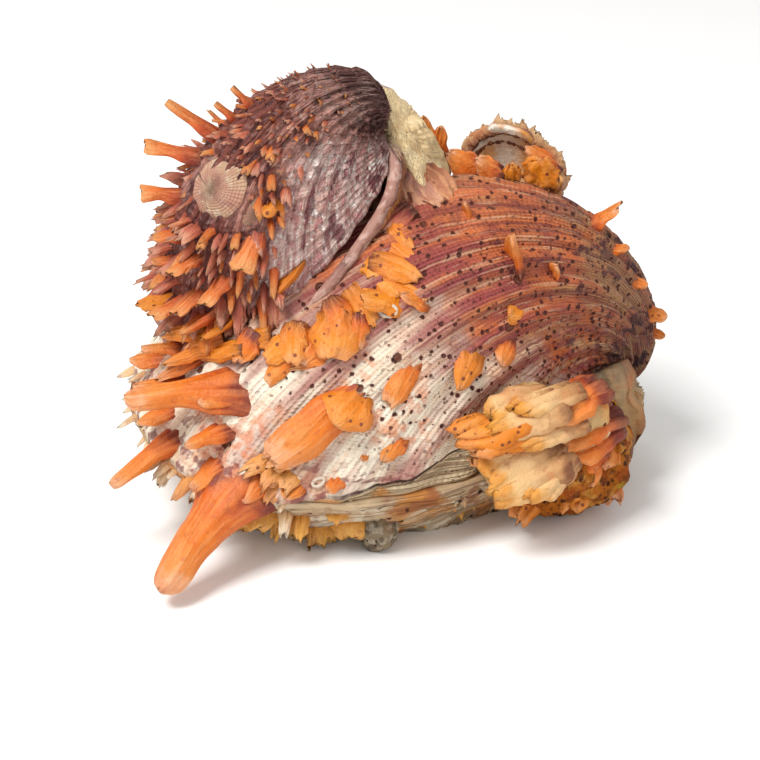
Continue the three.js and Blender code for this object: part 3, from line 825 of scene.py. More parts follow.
def scatter_tree():
    """Stands small leaves on marked points, each along its own aim."""
    tree, given = new_tree("Scales on ribs", [("Leaves", "Collection"), ("Seed", "Int")])
    aim, up = fields(tree, "FLOAT_VECTOR", "aim", "up")
    size, tint = fields(tree, "FLOAT", "size", "shade")
    leaves = add(tree, "GeometryNodeCollectionInfo", {"Collection": given["Leaves"],
                                                      "Separate Children": True,
                                                      "Reset Children": True})
    first = add(tree, "FunctionNodeAlignRotationToVector", {"Vector": aim}, axis="Y")
    turn = add(tree, "FunctionNodeAlignRotationToVector",
               {"Rotation": first.outputs[0], "Vector": up}, axis="Z", pivot_axis="Y")
    pick = add(tree, "FunctionNodeRandomValue",
               {4: 0, 5: LEAF_SHAPES - 1, "Seed": given["Seed"]}, data_type="INT").outputs[2]
    placed = add(tree, "GeometryNodeInstanceOnPoints",
                 {"Points": given["Geometry"], "Instance": leaves.outputs[0],
                  "Pick Instance": True, "Instance Index": pick,
                  "Rotation": turn.outputs[0], "Scale": size})
    tinted = add(tree, "GeometryNodeStoreNamedAttribute",
                 {"Geometry": placed.outputs[0], "Name": "tint", "Value": tint},
                 data_type="FLOAT", domain="INSTANCE")
    return close_tree(tree, tinted.outputs[0], given["Material"])


def apply_tree(made, tree, values):
    """Adds the tree as a modifier with its inputs set by identifier, and bakes it."""
    modifier = made.modifiers.new(tree.name, "NODES")
    modifier.node_group = tree
    for item in tree.interface.items_tree:
        if item.item_type == "SOCKET" and item.in_out == "INPUT" and item.name in values:
            modifier[item.identifier] = values[item.name]
    made.update_tag()
    bpy.context.view_layer.update()
    return bake(made)


def tree_named(name, builder):
    """The node tree of that name, built the first time it is asked for."""
    return bpy.data.node_groups.get(name) or builder()


def relieved(made, material, ribs=(0, 0.0), steps=(0, 0.0), lump=(0.0, 0.01), grit=0.0,
             pit=(0.05, 0.001, 0.0)):
    """Runs the relief tree on a piece. ribs and steps: how many round the shell and how high;
    lump: height and size; grit: height; pit: spacing, radius and depth, all in metres."""
    wanted = dict(zip(RELIEF_INPUTS, (*ribs, *steps, *lump, grit, *pit)), Material=material)
    return apply_tree(made, tree_named("Shell relief", relief_tree), wanted)


def leaf_shapes(shapes):
    """A collection of unit leaves (pointing along +Y, upper face +Z) for the scatter tree."""
    home = bpy.data.collections.new("Leaf shapes")
    for index, shape in enumerate(shapes):
        part = leaf((0, -0.35, 0), (0, 1, shape.pop("lift")), (0, 0, 1), (1, 0, 0), **shape)
        part = (part[0] / MM, part[1], {k: v for k, v in part[2].items() if k != "tint"})
        made = make_object(f"leaf_{index}", part)
        bpy.context.scene.collection.objects.unlink(made)
        home.objects.link(made)
    return home


def scattered(name, points, aims, ups, sizes, shades, shapes, material):
    """Leaves on points (millimetres) as one plain object."""
    mesh = bpy.data.meshes.new(name)
    mesh.from_pydata((points * MM).tolist(), [], [])
    for key, value in (("aim", aims), ("up", ups)):
        mesh.attributes.new(key, "FLOAT_VECTOR", "POINT").data.foreach_set(
            "vector", np.ascontiguousarray(value, np.float32).ravel())
    for key, value in (("size", sizes * MM), ("shade", shades)):
        mesh.attributes.new(key, "FLOAT", "POINT").data.foreach_set(
            "value", np.ascontiguousarray(value, np.float32))
    made = bpy.data.objects.new(name, mesh)
    bpy.context.scene.collection.objects.link(made)
    home = leaf_shapes(shapes)
    apply_tree(made, tree_named("Scales on ribs", scatter_tree),
               {"Leaves": home, "Seed": SEED, "Material": material})
    for shape in list(home.objects):
        bpy.data.objects.remove(shape)
    bpy.data.collections.remove(home)
    return made


def rib_rows(valve, pose, rows, rng, lift=(0.5, 0.9)):
    """Places along ribs: rows of (u, first s, last s, step, size at first, size at last)."""
    points, aims, ups, sizes = [], [], [], []
    for u, s0, s1, step, size0, size1 in rows:
        for s in np.arange(s0, s1, step):
            s = min(s + rng.uniform(-0.3, 0.3) * step, 1.0)
            here, normal, rim, out = surface_at(u + rng.uniform(-0.004, 0.004), s, valve, pose)
            tilt = rng.uniform(*lift)
            aim = out * math.cos(tilt) + normal * math.sin(tilt) + rim * rng.uniform(-0.25, 0.25)
            share = (s - s0) / max(s1 - s0, 1e-6)
            points.append(here - normal * 0.3)
            aims.append(aim)
            ups.append(normal)
            sizes.append((size0 + (size1 - size0) * share) * rng.uniform(0.55, 1.45))
    return tuple(np.array(a) for a in (points, aims, ups, sizes))


# ---- spines and frills of this cluster ----------------------------------------------------
# Place on the valve (rib, growth), tip offset from it, widths at root, middle and end, and
# what sets the leaf apart.
LARGE_SPINES = [
    (0.42, 0.86, (-33, -6, -3), (21, 10, 6), dict(thick=7, bow=3, curl=0.7, blunt=0.12, ridge=0.5,
     ridges=4, tint=0.85, steps=34, across=13, root=5)),
    (0.445, 0.96, (-18, -12, -12), (10, 6.5, 3), dict(thick=4.5, bow=2, curl=0.8, blunt=0.12,
     ridge=0.4, tint=0.7, root=3, steps=28, across=11, phase=1)),
    (0.375, 0.96, (-21, -25, -24), (31, 12, 7), dict(thick=8, bow=3, curl=0.7, blunt=0.1,
     ridge=0.6, ridges=3, tint=0.93, steps=36, across=13, phase=2, root=5)),
    (0.335, 0.77, (-27, -14, -18), (7, 11.5, 10.5), dict(thick=4.5, bow=5, curl=0.5, blunt=0.06,
     jag=0.5, ridge=0.35, tint=0.93, root=3, steps=32, across=11, phase=3)),
    (0.333, 0.8, (-8, -10, -5), (9, 14, 11), dict(thick=2.5, bow=3, curl=0.4, blunt=0.5, ridge=0.2,
     ridges=2, tint=0.97, phase=4)),
    (0.352, 0.87, (-11, -7, -8), (9, 9, 6), dict(thick=3, bow=3, curl=0.5, jag=1, tint=0.9,
     phase=5)),
    (0.494, 0.89, (-15, -2, 0), (8, 5, 3), dict(thick=3, bow=1, tint=0.8)),
    (0.476, 0.92, (-14, -4, -1), (8, 5, 3), dict(thick=3, bow=1, tint=0.75, phase=1)),
    (0.373, 0.48, (-2.6, -6.5, 10.4), (10, 6.2, 1.9), dict(thick=3, bow=0.5, curl=0.9, blunt=0.2,
     tint=0.9, phase=2)),
    (0.291, 0.64, (-5.2, -9.1, -9.1), (11.2, 8.8, 3.8), dict(thick=2.5, bow=3, tint=0.97)),
    (0.321, 0.71, (-7.8, -7.8, -10.4), (10, 8.8, 6.2), dict(thick=2.5, bow=2.5, curl=1.1, jag=0.8,
     tint=0.95, phase=3)),
    (0.501, 0.33, (7.8, -2.6, 6.5), (7.5, 6.2, 5), dict(thick=2.5, bow=0.5, jag=1.6, tint=0.9)),
    (0.406, 0.92, (-11.7, -7.8, -2.6), (8.8, 6.2, 3.8), dict(thick=2.5, bow=1.5, tint=0.85)),
    (0.461, 0.51, (-1.3, -2.6, 5.2), (5, 4.4, 2.5), dict(thick=2, bow=0.5, tint=0.8)),
    (0.351, 0.43, (0, -3.9, 3.9), (6.2, 5, 2.5), dict(thick=2, bow=0.5, tint=0.9)),
    (0.298, 0.52, (-5.2, -5.2, 1.3), (8.8, 7.5, 6.2), dict(thick=2, bow=1.5, curl=1.2, tint=1)),
    (0.271, 0.58, (-3.9, -6.5, -5.2), (8.8, 7.5, 5), dict(thick=2, bow=2, curl=1.2, tint=0.8)),
    (0.364, 0.63, (-7.8, -3.9, 3.9), (6.2, 6.2, 3.8), dict(thick=2, bow=1, tint=0.95)),
    (0.38, 0.65, (-11.7, -5.2, 2.6), (8.8, 8.8, 6.2), dict(thick=2, bow=1.5, tint=1, jag=0.6)),
    (0.461, 0.3, (5.2, -2.6, 1.3), (5, 3.8, 2.5), dict(thick=2, bow=0.4, tint=0.9)),
    (0.414, 0.26, (5.2, -1.3, -1.3), (6.2, 3.8, 2.5), dict(thick=2, bow=0.6, tint=0.9)),
    (0.399, 0.2, (6.5, -1.3, -1.3), (5, 5, 3.8), dict(thick=2, bow=0.4, tint=0.95)),
    (0.394, 0.165, (5.2, -1.3, -1.3), (5, 3.8, 2.5), dict(thick=2, bow=0.4, tint=0.9)),
    (0.416, 0.88, (-11.7, -5.2, 0), (7.5, 6.2, 3.8), dict(thick=2.5, bow=1.5, tint=0.8, phase=2)),
    (0.276, 0.86, (-6.5, -6.5, -5.2), (6.2, 6.2, 3.8), dict(thick=2, bow=2, tint=0.95)),
    (0.295, 0.9, (-1.3, -3.9, -1.3), (3.8, 3.1, 1.9), dict(thick=2, tint=0.8)),
    (0.301, 0.95, (-3.9, -5.2, -2.6), (6.2, 5, 3.1), dict(thick=2, tint=0.7)),
    (0.33, 0.96, (-3.9, -5.2, -3.9), (7.5, 6.2, 3.8), dict(thick=2, tint=0.95, phase=4)),
    (0.358, 0.96, (-5.2, -6.5, -6.5), (8.8, 7.5, 3.8), dict(thick=2.5, tint=0.75, phase=5)),
    (0.395, 0.96, (-7.8, -7.8, -6.5), (8.8, 6.2, 3.8), dict(thick=2.5, tint=0.7, phase=1)),
    (0.46, 0.94, (-11.7, -5.2, -3.9), (8.8, 6.2, 3.8), dict(thick=2.5, tint=0.7, phase=3)),
    (0.51, 0.93, (-11.7, -1.3, -1.3), (8.8, 7.5, 5), dict(thick=2.5, tint=0.6, phase=3)),
]
BUFF_TUFT = [
    (0.348, 0.915, (-6, -6, -3), (7, 7, 5), {}),
    (0.352, 0.93, (-5, -6, -6), (7, 7, 5), {}),
    (0.34, 0.935, (-3, -6, -5), (6, 6, 4), {}),
    (0.36, 0.925, (-8, -5, -4), (6, 6, 4), {}),
    (0.345, 0.95, (-4, -5, -7), (6, 6, 4), {}),
]
SMALL_SPINES = [
    (0.58, 0.56, (-14, 0, 10), (6, 4.5, 3), dict(thick=3.5, tint=0.9, root=3)),
    (0.58, 0.62, (-16, 0, 4), (6, 5, 7), dict(thick=3, blunt=0.15, tint=0.9, jag=0.5)),
    (0.57, 0.72, (-12, -1, 2), (6, 4.5, 7), dict(thick=3, blunt=0.12, tint=0.62, curl=1, jag=0.5)),
    (0.51, 0.76, (-9, -2, -1), (6, 5, 3), dict(thick=3, tint=0.7)),
    (0.507, 0.83, (-8, -1, 0), (5, 4, 3), dict(thick=2.5, tint=0.6)),
    (0.499, 0.93, (-11, -4, 0), (6, 7, 6), dict(thick=2.5, tint=0.98, jag=1)),
    (0.556, 0.45, (-6, 0, 6), (4, 3, 2), dict(thick=2, tint=0.6)),
    (0.57, 0.5, (-6, 0, 5), (4, 3, 2), dict(thick=2, tint=0.9)),
    (0.311, 0.64, (-5, -6, -3), (4, 5, 4), dict(thick=2, curl=1.1, tint=1)),
    (0.333, 0.72, (-6, -8, -9), (4, 6, 8), dict(thick=2, curl=0.9, tint=0.75, blunt=0.12, jag=1)),
    (0.265, 0.93, (-7, -6, -6), (8, 7, 4), dict(thick=2.5, tint=1)),
    (0.4, 0.93, (-10, -6, -4), (7, 6, 4), dict(thick=3, tint=0.8)),
    (0.37, 0.96, (-8, -6, -4), (8, 9, 8), dict(thick=2.5, tint=1, jag=1)),
    (0.43, 0.86, (-8, -6, -5), (5, 6, 6), dict(thick=2.5, tint=0.75, jag=1)),
    (0.47, 0.9, (-10, -5, -3), (5, 6, 6), dict(thick=2.5, tint=0.72, jag=1)),
    (0.45, 0.78, (-8, -6, -3), (5, 5, 5), dict(thick=2.5, tint=0.7, jag=1)),
    (0.38, 0.83, (-7, -7, -6), (5, 6, 6), dict(thick=2.5, tint=0.66, jag=1)),
]


def frill_fan(valve, pose, places, rng, lean, length, width, tints, thick=2.2, root=2.5,
              **shape):
    """A leaf at each (u, s), leaning along a mix of outward, growing and downward."""
    parts = []
    for u, s in places:
        here, normal, rim, out = surface_at(u, s, valve, pose)
        way = normal * lean[0] + out * lean[1] + np.array([0, 0, -lean[2]])
        way += rim * rng.uniform(-0.35, 0.35)
        way /= np.linalg.norm(way)
        size = rng.uniform(*length)
        w = rng.uniform(*width)
        face = np.cross(rim, way)
        face *= np.sign(face[2]) or 1
        parts.append(leaf(here - normal * root, here + way * size, face, rim,
                          wide=(w, w * rng.uniform(0.9, 1.2), w * rng.uniform(0.6, 1.0)),
                          thick=thick, bow=rng.uniform(0.5, 2.5), curl=rng.uniform(0.4, 1.1),
                          blunt=rng.uniform(0.2, 0.5), jag=rng.uniform(0.3, 1.4),
                          phase=rng.uniform(0, 6), tint=rng.uniform(*tints), **shape))
    return parts


# Frills that spread from under the small oyster over the large valve: start, end, widths,
# bow and tint.
UNDER_FRILLS = [
    ((0, -17, 82), (9, -28, 79), (8, 8, 5), 1.5, 0.96),
    ((1, -20, 81), (-2, -30, 76), (7, 8, 8), 1, 1),
    ((-3, -25, 77), (5, -34, 72), (7, 9, 7), 2, 1),
    ((-7, -30, 73), (4, -36, 69), (7, 9, 5), 1.5, 0.98),
    ((0, -29, 75), (12, -34, 71), (5, 6, 3), 2, 0.97),
    ((-11, -37, 69), (-13, -44, 59), (11, 14, 12), 2.5, 0.97),
    ((-6, -37, 68), (-7, -42, 61), (6, 7, 6), 2, 0.72),
    ((-20, -38, 63), (-30, -39, 57), (8, 9, 8), 2, 1),
    ((-29, -34, 61), (-41, -30, 54), (7, 8, 6), 2, 0.98),
    ((-36, -35, 58), (-48, -27, 51), (6, 6, 4), 1.5, 0.98),
    ((-24, -38, 58), (-30, -41, 51), (8, 8, 7), 2, 0.95),
    ((-8, -40, 60), (-24, -41, 54), (4, 5, 1.5), 1.2, 0.95),
    ((-17, -37, 62), (-21, -42, 56), (6, 7, 5), 2, 0.6),
    ((2, -14, 85), (8, -24, 81), (5, 6, 4), 2.5, 0.97),
    ((-2, -26, 79), (10, -31, 76), (7, 9, 6), 3, 0.97),
    ((-8, -32, 73), (-1, -38, 66), (8, 9, 7), 2, 1),
    ((-13, -34, 71), (-8, -41, 64), (7, 9, 7), 3, 0.95),
    ((-22, -36, 65), (-23, -43, 57), (7, 9, 8), 2, 0.97),
    ((-33, -33, 61), (-38, -36, 54), (7, 8, 6), 2, 0.7),
    ((-42, -28, 58), (-52, -26, 52), (6, 7, 5), 2, 0.96),
    ((-45, -24, 57), (-58, -22, 55), (6, 6, 4), 2, 0.97),
    ((-44, -28, 54), (-58, -28, 49), (5, 5, 2), 2, 0.97),
    ((-46, -26, 52), (-60, -27, 44), (5, 5, 2), 2, 0.75),
]
# Orange frills and a claw at the foot of the broken valve.
BROKEN_FRILLS = [
    ((29, 14, 86), (19, 12, 94), (11, 11, 5), 1, 0.85, 0.8),
    ((33, 11, 87), (27, 9, 93), (9, 9, 5), 1, 0.6, 0.8),
    ((44, 16, 83), (45, 15, 91), (12, 11, 7), 1, 1, 0.8),
    ((37, 12, 86), (36, 11, 91), (6, 5, 2), 1, 1, 0.5),
    ((14, 21, 88), (12, 20, 102), (8, 6, 3), 1, 0.97, 0),
    ((16, 21, 88), (17, 20, 99), (6, 5, 3), 1, 0.9, 0),
    ((50, 22, 84), (41, 20, 92), (9, 8, 5), 2, 0.8, 0.8),
]
# Dull violet-brown frills in the hollow below the hinge wedge.
HOLLOW_FRILLS = [
    ((5, -1, 90), (-2, -9, 86), (6, 8, 8), 1, 0.3),
    ((14, -2, 90), (7, -11, 87), (8, 9, 8), 2, 0.2),
    ((8, -12, 88), (1, -19, 84), (7, 8, 6), 1.5, 0.1),
    ((7, -2, 93), (15, -11, 88.5), (9, 10, 9), 3, 0.9),
    ((11, -2, 95), (19, -8, 89.5), (8, 9, 8), 2.5, 0.95),
    ((6, -3, 96), (9, -9, 89), (8, 9, 8), 2.5, 0.7),
]


# ---- add-on classes -----------------------------------------------------------------------
class OysterSizes(bpy.types.PropertyGroup):
    rib_height: bpy.props.FloatProperty(
        name="Rib height", description="Height of the broad ribs of the large valve",
        default=0.0007, unit="LENGTH", subtype="DISTANCE")
    scale_size: bpy.props.FloatProperty(
        name="Scale length", description="Length of the scales at the small valve's margin",
        default=0.0078, unit="LENGTH", subtype="DISTANCE")
    scale_ribs: bpy.props.IntProperty(
        name="Scaly ribs", description="How many ribs of the small valve carry scales",
        default=27, min=4, max=60)
    pit_radius: bpy.props.FloatProperty(
        name="Pit radius", description="Radius of the worn pits in the large valve",
        default=0.0022, unit="LENGTH", subtype="DISTANCE")
    floor_side: bpy.props.FloatProperty(
        name="Floor side", description="Side of the square floor",
        default=6.0, unit="LENGTH", subtype="DISTANCE")


class OysterColours(bpy.types.PropertyGroup):
    terracotta_hex: bpy.props.StringProperty(
        name="Terracotta", description="Ground colour of the large upper valve",
        default="#b86234")
    cream_hex: bpy.props.StringProperty(
        name="Cream", description="Colour of bare lime on the large oyster", default="#e6dac4")
    # The default maroon is darker than the shell's own colour: part of it is painted shade between
    # the scales.
    maroon_hex: bpy.props.StringProperty(
        name="Maroon", description="Ground colour of the small upper valve", default="#733a30")
    rim_hex: bpy.props.StringProperty(
        name="Lip", description="Colour of the small lower valve's lip", default="#a2786c")
    wedge_hex: bpy.props.StringProperty(
        name="Hinge area", description="Colour of the small lower valve's hinge area",
        default="#dcc294")


class OYSTER_OT_large_upper(bpy.types.Operator):
    """Ribbed upper valve of the large oyster with its spines"""
    bl_idname = "oyster.large_upper"
    bl_label = "Large upper valve"

    def execute(self, context):
        sizes, colours = context.scene.oyster_sizes, context.scene.oyster_colours
        columns = columns_between(0.12, 0.62, 270, 70)
        shell = make_object("large_upper_shell",
                            mark_below(shell_part(LARGE_UPPER, LARGE_POSE, columns, 225)))
        material = ribbed_terracotta(colours)
        relieved(shell, material, ribs=(24, sizes.rib_height), steps=(22, 0.0005),
                 lump=(0.0022, 0.022), grit=0.0004, pit=(0.021, sizes.pit_radius, 0.0016))
        settle(shell, material, "large_upper_valve")
        orange = spine_lime("Dense calcite, orange spine", ORANGE_RAMP, MAROON_RAMP)
        parts = planted(LARGE_UPPER, LARGE_POSE, LARGE_SPINES)
        spines = make_object("large_upper_spines", joined(parts))
        keep_above_floor(spines)
        settle(spines, orange, "large_upper_valve")
        buff = spine_lime("Dense calcite, buff frill", BUFF_RAMP, BUFF_RAMP)
        tuft = planted(LARGE_UPPER, LARGE_POSE, BUFF_TUFT, 1.7, thick=1.8, bow=1.5, curl=0.8,
                       jag=1.6)
        settle(make_object("large_upper_tuft", joined(tuft)), buff, "large_upper_valve")
        self.margin_scales(buff)
        return {"FINISHED"}

    def margin_scales(self, material):
        """Small pale scales along the ventral margin."""
        rng = np.random.default_rng(SEED)
        rows = [(u, 0.94, 1.0, 0.03, 4.0, 6.5) for u in np.arange(0.33, 0.66, 0.010)]
        points, aims, ups, sizes = rib_rows(LARGE_UPPER, LARGE_POSE, rows, rng, (0.0, 0.35))
        shapes = [dict(wide=(0.5, 0.5, 0.25), thick=0.18, curl=0.6, bow=0.05, blunt=0.4,
                       ridge=0.03, ridges=2, jag=0.12, phase=k, lift=0.1, steps=6, across=4)
                  for k in range(LEAF_SHAPES)]
        made = scattered("large_upper_margin", points, aims, ups, sizes,
                         rng.uniform(0.0, 1.0, len(points)), shapes, material)
        settle(made, material, "large_upper_valve")


class OYSTER_OT_large_lower(bpy.types.Operator):
    """Lower valve of the large oyster with its frills"""
    bl_idname = "oyster.large_lower"
    bl_label = "Large lower valve"

    def execute(self, context):
        colours = context.scene.oyster_colours
        columns = columns_between(0.05, 0.60, 200, 70)
        shell = make_object("large_lower_shell",
                            shell_part(LARGE_LOWER, LARGE_POSE, columns, 130, floor=0.6))
        material = chalky_lower(colours)
        relieved(shell, material, ribs=(18, 0.0004), steps=(26, 0.0009), lump=(0.0016, 0.016),
                 grit=0.0005, pit=(0.03, 0.002, 0.0012))
        self.flatten(shell)
        settle(shell, material, "large_lower_valve")
        rng = np.random.default_rng(SEED + 1)
        ochre = spine_lime("Dense calcite, ochre frill",
                           [(0.0, "#7a4520"), (0.3, "#b8741f"), (0.6, "#c98524"),
                            (1.0, "#d9a04a")], BUFF_RAMP)
        dense = [(u, v) for u, v in zip(np.arange(0.335, 0.60, 0.009),
                                        np.tile((0.97, 0.82, 0.91, 0.86), 8))]
        frills = frill_fan(LARGE_LOWER, LARGE_POSE, dense, rng, (0.9, 0.25, 0.5), (3.5, 7.5),
                           (3, 9), (0.1, 1.0), ridge=0.6, steps=14, across=13)
        lip = [(rng.uniform(0.29, 0.47), rng.uniform(0.84, 0.98)) for _ in range(20)]
        frills += frill_fan(LARGE_LOWER, LARGE_POSE, lip, rng, (0.8, 0.3, 0.7), (3, 8),
                            (3, 11), (0.4, 1.0), ridge=0.4, steps=14, across=13)
        sparse = [(u, v) for u, v in zip(np.arange(0.15, 0.33, 0.012),
                                         np.tile((0.80, 0.72, 0.88, 0.76), 4))]
        frills += frill_fan(LARGE_LOWER, LARGE_POSE, sparse, rng, (0.8, 0.5, 0.3), (1.0, 2.6),
                            (3, 7), (0.4, 1.0), ridge=0.4, steps=14, across=13)
        fringe = make_object("large_lower_frills", joined(frills))
        keep_above_floor(fringe)
        settle(fringe, ochre, "large_lower_valve")
        plate = leaf((60, -10, 36), (68, -12, 12), (0.25, -0.9, 0.3), (1, 0.25, 0.1),
                     wide=(20, 19, 13), thick=5, curl=0.5, bow=3, blunt=0.4, ridges=3,
                     ridge=0.9, jag=1.4, phase=2, tint=0.2, steps=40, across=41)
        horn = spine_lime("Hinge calcite, grey and horny", BUFF_RAMP,
                          [(0.0, "#75664f"), (0.3, "#8e7856"), (0.6, "#8c6b42"),
                           (0.85, "#704a28"), (1.0, "#52301c")], 0.75)
        hinge = make_object("large_lower_hinge", with_blank_marks(plate))
        relieved(hinge, horn, **CRAGGY)
        settle(hinge, horn, "large_lower_valve")
        return {"FINISHED"}

    def flatten(self, shell):
        """Lays the attachment scar on the floor."""
        set_heights(shell, lambda z: np.where(z < SCAR_HEIGHT * MM, 0.0, z))


class OYSTER_OT_small_upper(bpy.types.Operator):
    """Dark scaly upper valve of the small oyster"""
    bl_idname = "oyster.small_upper"
    bl_label = "Small upper valve"

    def execute(self, context):
        sizes, colours = context.scene.oyster_sizes, context.scene.oyster_colours
        columns = columns_between(0.12, 0.64, 190, 50)
        shell = make_object("small_upper_shell",
                            shell_part(SMALL_UPPER, SMALL_POSE, columns, 150,
                                       end=SMALL_UPPER_END))
        material = scaly_maroon(colours)
        relieved(shell, material, ribs=(26, 0.0004), steps=(20, 0.0007), lump=(0.0020, 0.014),
                 grit=0.0007)
        settle(shell, material, "small_upper_valve")
        scales = spine_lime("Dense calcite, maroon scale", REDDISH_RAMP, MAROON_RAMP, 0.55)
        parts = planted(SMALL_UPPER, SMALL_POSE, SMALL_SPINES)
        settle(make_object("small_upper_spines", joined(parts)), scales, "small_upper_valve")
        self.scales(sizes, scales)
        return {"FINISHED"}

    def scales(self, sizes, material):
        """Rows of scales on the ribs, longer towards the margin."""
        rng = np.random.default_rng(SEED + 2)
        longest = sizes.scale_size / MM
        rows = [(u, 0.26, 1.0, 0.038, 0.3 * longest, longest)
                for u in np.linspace(0.20, 0.66, sizes.scale_ribs) if u > 0.3]
        points, aims, ups, lengths = rib_rows(SMALL_UPPER, SMALL_POSE, rows, rng, (0.3, 1.15))
        clear = rng.random(len(points)) < 0.88
        for u, s, radius in ((0.465, 0.62, 9), (0.355, 0.67, 4)):
            centre = surface_at(u, s, SMALL_UPPER, SMALL_POSE)[0]
            clear &= np.linalg.norm(points - centre, axis=1) > radius
        points, aims, ups, lengths = (a[clear] for a in (points, aims, ups, lengths))
        shades = np.where(rng.random(len(points)) < 0.3, 0.8, rng.uniform(0, 0.5, len(points)))
        shapes = [dict(wide=(0.5, m, w), thick=0.24, curl=1.1, bow=0.08, blunt=0.3,
                       ridge=0.05, ridges=2, jag=j, phase=k, lift=l, steps=7, across=4)
                  for k, (m, w, j, l) in enumerate(((0.34, 0.46, 0.12, 0.15),
                                                    (0.3, 0.12, 0.0, 0.3), (0.3, 0.5, 0.18, 0.1),
                                                    (0.24, 0.1, 0.0, 0.4), (0.4, 0.6, 0.2, 0.1),
                                                    (0.26, 0.2, 0.08, 0.45)))]
        made = scattered("small_upper_scales", points, aims, ups, lengths, shades, shapes,
                         material)
        settle(made, material, "small_upper_valve")


class OYSTER_OT_small_lower(bpy.types.Operator):
    """Lower valve of the small oyster with its lip, hinge area and orange frills"""
    bl_idname = "oyster.small_lower"
    bl_label = "Small lower valve"

    def execute(self, context):
        colours = context.scene.oyster_colours
        columns = columns_between(0.05, 0.60, 180, 50)
        shell = make_object("small_lower_shell",
                            shell_part(SMALL_LOWER, SMALL_POSE, columns, 120,
                                       end=SMALL_LOWER_END))
        material = rim_lower(colours)
        relieved(shell, material, ribs=(20, 0.0003), steps=(22, 0.0006), lump=(0.0022, 0.007),
                 grit=0.0008)
        settle(shell, material, "small_lower_valve")
        rng = np.random.default_rng(SEED + 3)
        orange = spine_lime("Dense calcite, orange frill", ORANGE_RAMP, BUFF_RAMP)
        places = [(u, s) for s in (0.95, 0.88) for u in np.arange(0.30, 0.60, 0.035)]
        frills = frill_fan(SMALL_LOWER, SMALL_POSE, places, rng, (0.7, 0.6, 0.25), (6, 11),
                           (7, 11), (0.55, 1.0), thick=2.4)
        frills += plates(UNDER_FRILLS, 1.9, thick=2.2, blunt=0.35, jag=0.7, curl=0.9, ridge=0.28,
                         steps=26, across=17)
        settle(make_object("small_lower_frills", joined(frills)), orange, "small_lower_valve")
        violet = spine_lime("Dense calcite, violet frill", VIOLET_RAMP, MAROON_RAMP, 0.7)
        hollow = plates(HOLLOW_FRILLS, 2.3, thick=2, blunt=0.4, jag=1.5, curl=0.9, ridge=0.5,
                        steps=24, across=17)
        settle(make_object("small_lower_hollow", joined(hollow)), violet, "small_lower_valve")
        self.wedge(colours)
        return {"FINISHED"}

    def wedge(self, colours):
        """The flat triangular hinge area, cream with a violet upper edge."""
        # Gives the eye a calm, finely lined cream plane beside the dark scaly valve.
        def build(tree, place):
            fine = add(tree, "ShaderNodeMapping", {"Vector": place, "Rotation": (0, 0.9, 0),
                                                   "Scale": (1.0, 1.0, 0.22)}).outputs[0]
            lines = grain(tree, fine, 900, 0.45, 0.65, 3)
            base = paint(tree, colours.wedge_hex, [
                (lines, 0.5, "#e6d3ae"),
                (speckle(tree, place, 6.25, 0.52, 0.68), 0.5, "#b8935e"),
                (grain(tree, fine, 1500, 0.55, 0.66), 0.3, "#97764c"),
                (step_up(tree, mark(tree, "outer"), 0.30, 0.12),
                 speckle(tree, place, 3, 0.36, 0.6), "#93808a"),
                (speckle(tree, place, 0.667, 0.62, 0.68), 0.7, "#5d4426"),
            ])
            height = weighted(tree, (lines, 0.3), (speckle(tree, place, 1.43, 0, 1), 0.5))
            return base, height

        material = lime("Hinge calcite, flat and fibrous", build, 0.7, 0.25)
        settle(make_object("small_lower_wedge", wedge_part()), material, "small_lower_valve")


def wedge_part(rows=60, across=24):
    """The hinge wedge: a slab between its front and back edges, lightly uneven."""
    t = np.linspace(0, 1, rows)[:, None]
    w = np.linspace(0, 1, across)[None, :]
    edges = []
    for stops, line in HINGE_EDGES:
        line = np.array(line, float)
        edges.append(np.stack([np.interp(t[:, 0], stops, line[:, k]) for k in range(3)], -1))
    front, back = edges
    top = front[:, None] * (1 - w[..., None]) + back[:, None] * w[..., None]
    out = np.array([0.62, -0.55, 0.56])
    uneven = (0.35 * np.sin(9 * t + 5 * w) + 0.2 * np.sin(31 * t - 7 * w)
              + 0.9 * np.sin(np.pi * w) ** 0.5 * np.sin(np.pi * t) ** 0.5)
    top = top + uneven[..., None] * out
    under = top[:, ::-1] + np.array([-5.0, 6.0, -4.0])
    points = np.concatenate([top, under], 1)
    band = np.broadcast_to(1 - w + 0.6 * t, (rows, across))
    return lofted(points, {"outer": np.concatenate([band, band[:, ::-1]], 1)})


